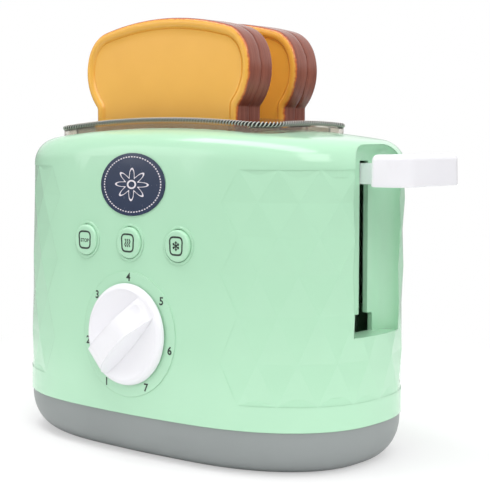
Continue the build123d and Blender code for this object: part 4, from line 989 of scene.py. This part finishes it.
# %% Finishes of the other solids
FINISH_BY_SLOT = {
    "mint_casing": mint_abs, "grey_base": grey_abs, "rubber": black_rubber, "steel": drawn_steel,
    "smoky_clear": smoky_clear, "dark_inner": dark_abs, "white_gloss": white_abs, "badge_navy": badge_film,
    "white_inner": inner_white_abs, "bread": toast}
for row in frame["record"]["subparts"]:
    solid = NODES[row["node"]]
    solid.data.materials.clear()
    solid.data.materials.append(FINISH_BY_SLOT[row["material_slot"]])
print("solids with a finish:", len(NODES))

# %% [markdown]
# The studio is plain: a pale floor that keeps the soft shadow near the toy. Farther out the camera sees it
# melt into a white surround, while its paper is darker there, which the facets mirror.

# %% Studio floor
FLOOR_HALF = 1.6
DARKER_RUN, MELT_RUN, NEAR_WHITE = (0.26, 0.42), (0.16, 0.30), 0.45

floor_mesh = bpy.data.meshes.new("floor")
floor_mesh.from_pydata([(-FLOOR_HALF, -FLOOR_HALF, 0), (FLOOR_HALF, -FLOOR_HALF, 0),
                        (FLOOR_HALF, FLOOR_HALF, 0), (-FLOOR_HALF, FLOOR_HALF, 0)], [], [(0, 1, 2, 3)])
floor = linked("floor", floor_mesh)
floor_paper, tree, shader = new_finish("matt_paper_white", {"Roughness": 0.9, "Specular IOR Level": 0.1})
place = add(tree, "TexCoord", {}, {}).outputs["Object"]
paper = tinted(tree, place, 80, "#F4F4F4", "#F7F7F7")
away = add(tree, "VectorMath", {"operation": "LENGTH"}, {0: place})
beyond = add(tree, "MapRange", {"From Min": DARKER_RUN[0], "From Max": DARKER_RUN[1]},
             {"Value": away.outputs["Value"]})
sheet = add(tree, "Mix", {"data_type": "RGBA"}, {0: beyond.outputs["Result"], 6: paper})
sheet.inputs[7].default_value = linear("#B0B0B0")
tree.links.new(sheet.outputs[2], shader.inputs["Base Color"])
melt = add(tree, "MapRange", {"From Min": MELT_RUN[0], "From Max": MELT_RUN[1], "To Min": NEAR_WHITE,
                              "interpolation_type": "SMOOTHSTEP"}, {"Value": away.outputs["Value"]})
seen = add(tree, "LightPath", {}, {})
lift = add(tree, "Math", {"operation": "MULTIPLY"},
           {0: seen.outputs["Is Camera Ray"], 1: melt.outputs["Result"]})
white = add(tree, "Emission", {"Color": (1.0, 1.0, 1.0, 1.0), "Strength": 1.0}, {})
blend = add(tree, "MixShader", {},
            {0: lift.outputs[0], 1: shader.outputs["BSDF"], 2: white.outputs["Emission"]})
output = next(node for node in tree.nodes if node.type == "OUTPUT_MATERIAL")
tree.links.new(blend.outputs["Shader"], output.inputs["Surface"])
floor_mesh.materials.append(floor_paper)
print("floor ready")

# %% [markdown]
# Camera and glass see plain white around. The light that the surround gives is set on its own, at a level
# where a colour shows as it is written: bright behind the toy and at its right, where white boards stand,
# weaker in front, where the room is, and darkest near the horizon, which brings out the facets.

# %% Studio surround
BOARDS_WAY = (0.35, 0.937, 0.0)
ROOM_LIGHT, BOARDS_LIGHT, HORIZON_SHARE = 0.6, 1.05, 0.35
BOARDS_RUN, HORIZON_RUN = (-0.3, 0.5), (0.02, 0.2)

world = bpy.data.worlds.new("studio")
bpy.context.scene.world = world
world.use_nodes = True
tree = world.node_tree
tree.nodes.clear()
way = add(tree, "TexCoord", {}, {}).outputs["Generated"]
facing = add(tree, "VectorMath", {"operation": "DOT_PRODUCT", 1: BOARDS_WAY}, {0: way})
level = add(tree, "MapRange", {"From Min": BOARDS_RUN[0], "From Max": BOARDS_RUN[1],
                               "To Min": ROOM_LIGHT, "To Max": BOARDS_LIGHT,
                               "interpolation_type": "SMOOTHSTEP"}, {"Value": facing.outputs["Value"]})
height = add(tree, "SeparateXYZ", {}, {"Vector": way})
rise = add(tree, "MapRange", {"From Min": HORIZON_RUN[0], "From Max": HORIZON_RUN[1],
                              "To Min": HORIZON_SHARE, "interpolation_type": "SMOOTHSTEP"},
           {"Value": height.outputs["Z"]})
strength = add(tree, "Math", {"operation": "MULTIPLY"},
               {0: level.outputs["Result"], 1: rise.outputs["Result"]})
ambient = add(tree, "Background", {"Color": linear("#FFFFFF")}, {"Strength": strength.outputs[0]})
surround = add(tree, "Background", {"Color": (1.0, 1.0, 1.0, 1.0), "Strength": 1.0}, {})
seen = add(tree, "LightPath", {}, {})
direct = add(tree, "Math", {"operation": "MAXIMUM"},
             {0: seen.outputs["Is Camera Ray"], 1: seen.outputs["Is Transmission Ray"]})
mixed = add(tree, "MixShader", {}, {0: direct.outputs[0], 1: ambient.outputs["Background"],
                                    2: surround.outputs["Background"]})
add(tree, "OutputWorld", {}, {"Surface": mixed.outputs["Shader"]})
print("surround ready")

# %% [markdown]
# Three soft lamps add to the surround: one overhead, one from the front left and one from the upper right.

# %% Studio lamps
LAMP_TARGET = (0, 0, 0.08)


def soft_lamp(name, place, width, height, power):
    """An oblong area lamp that looks at the toy's middle."""
    data = bpy.data.lights.new(name, "AREA")
    data.shape = "RECTANGLE"
    data.size = width
    data.size_y = height
    data.energy = power
    lamp = linked(name, data)
    lamp.location = place
    x, y, z = (t - p for t, p in zip(LAMP_TARGET, place))
    lamp.rotation_euler = (acos(-z / sqrt(x * x + y * y + z * z)), 0.0, atan2(y, x) - pi / 2)


soft_lamp("top_lamp", (-0.05, -0.25, 1.1), 1.3, 0.35, 6.2)
soft_lamp("front_lamp", (-0.85, -0.95, 0.55), 0.7, 0.7, 2.1)
soft_lamp("side_lamp", (0.95, -0.65, 1.0), 0.7, 0.7, 5.2)
print("lamps ready")
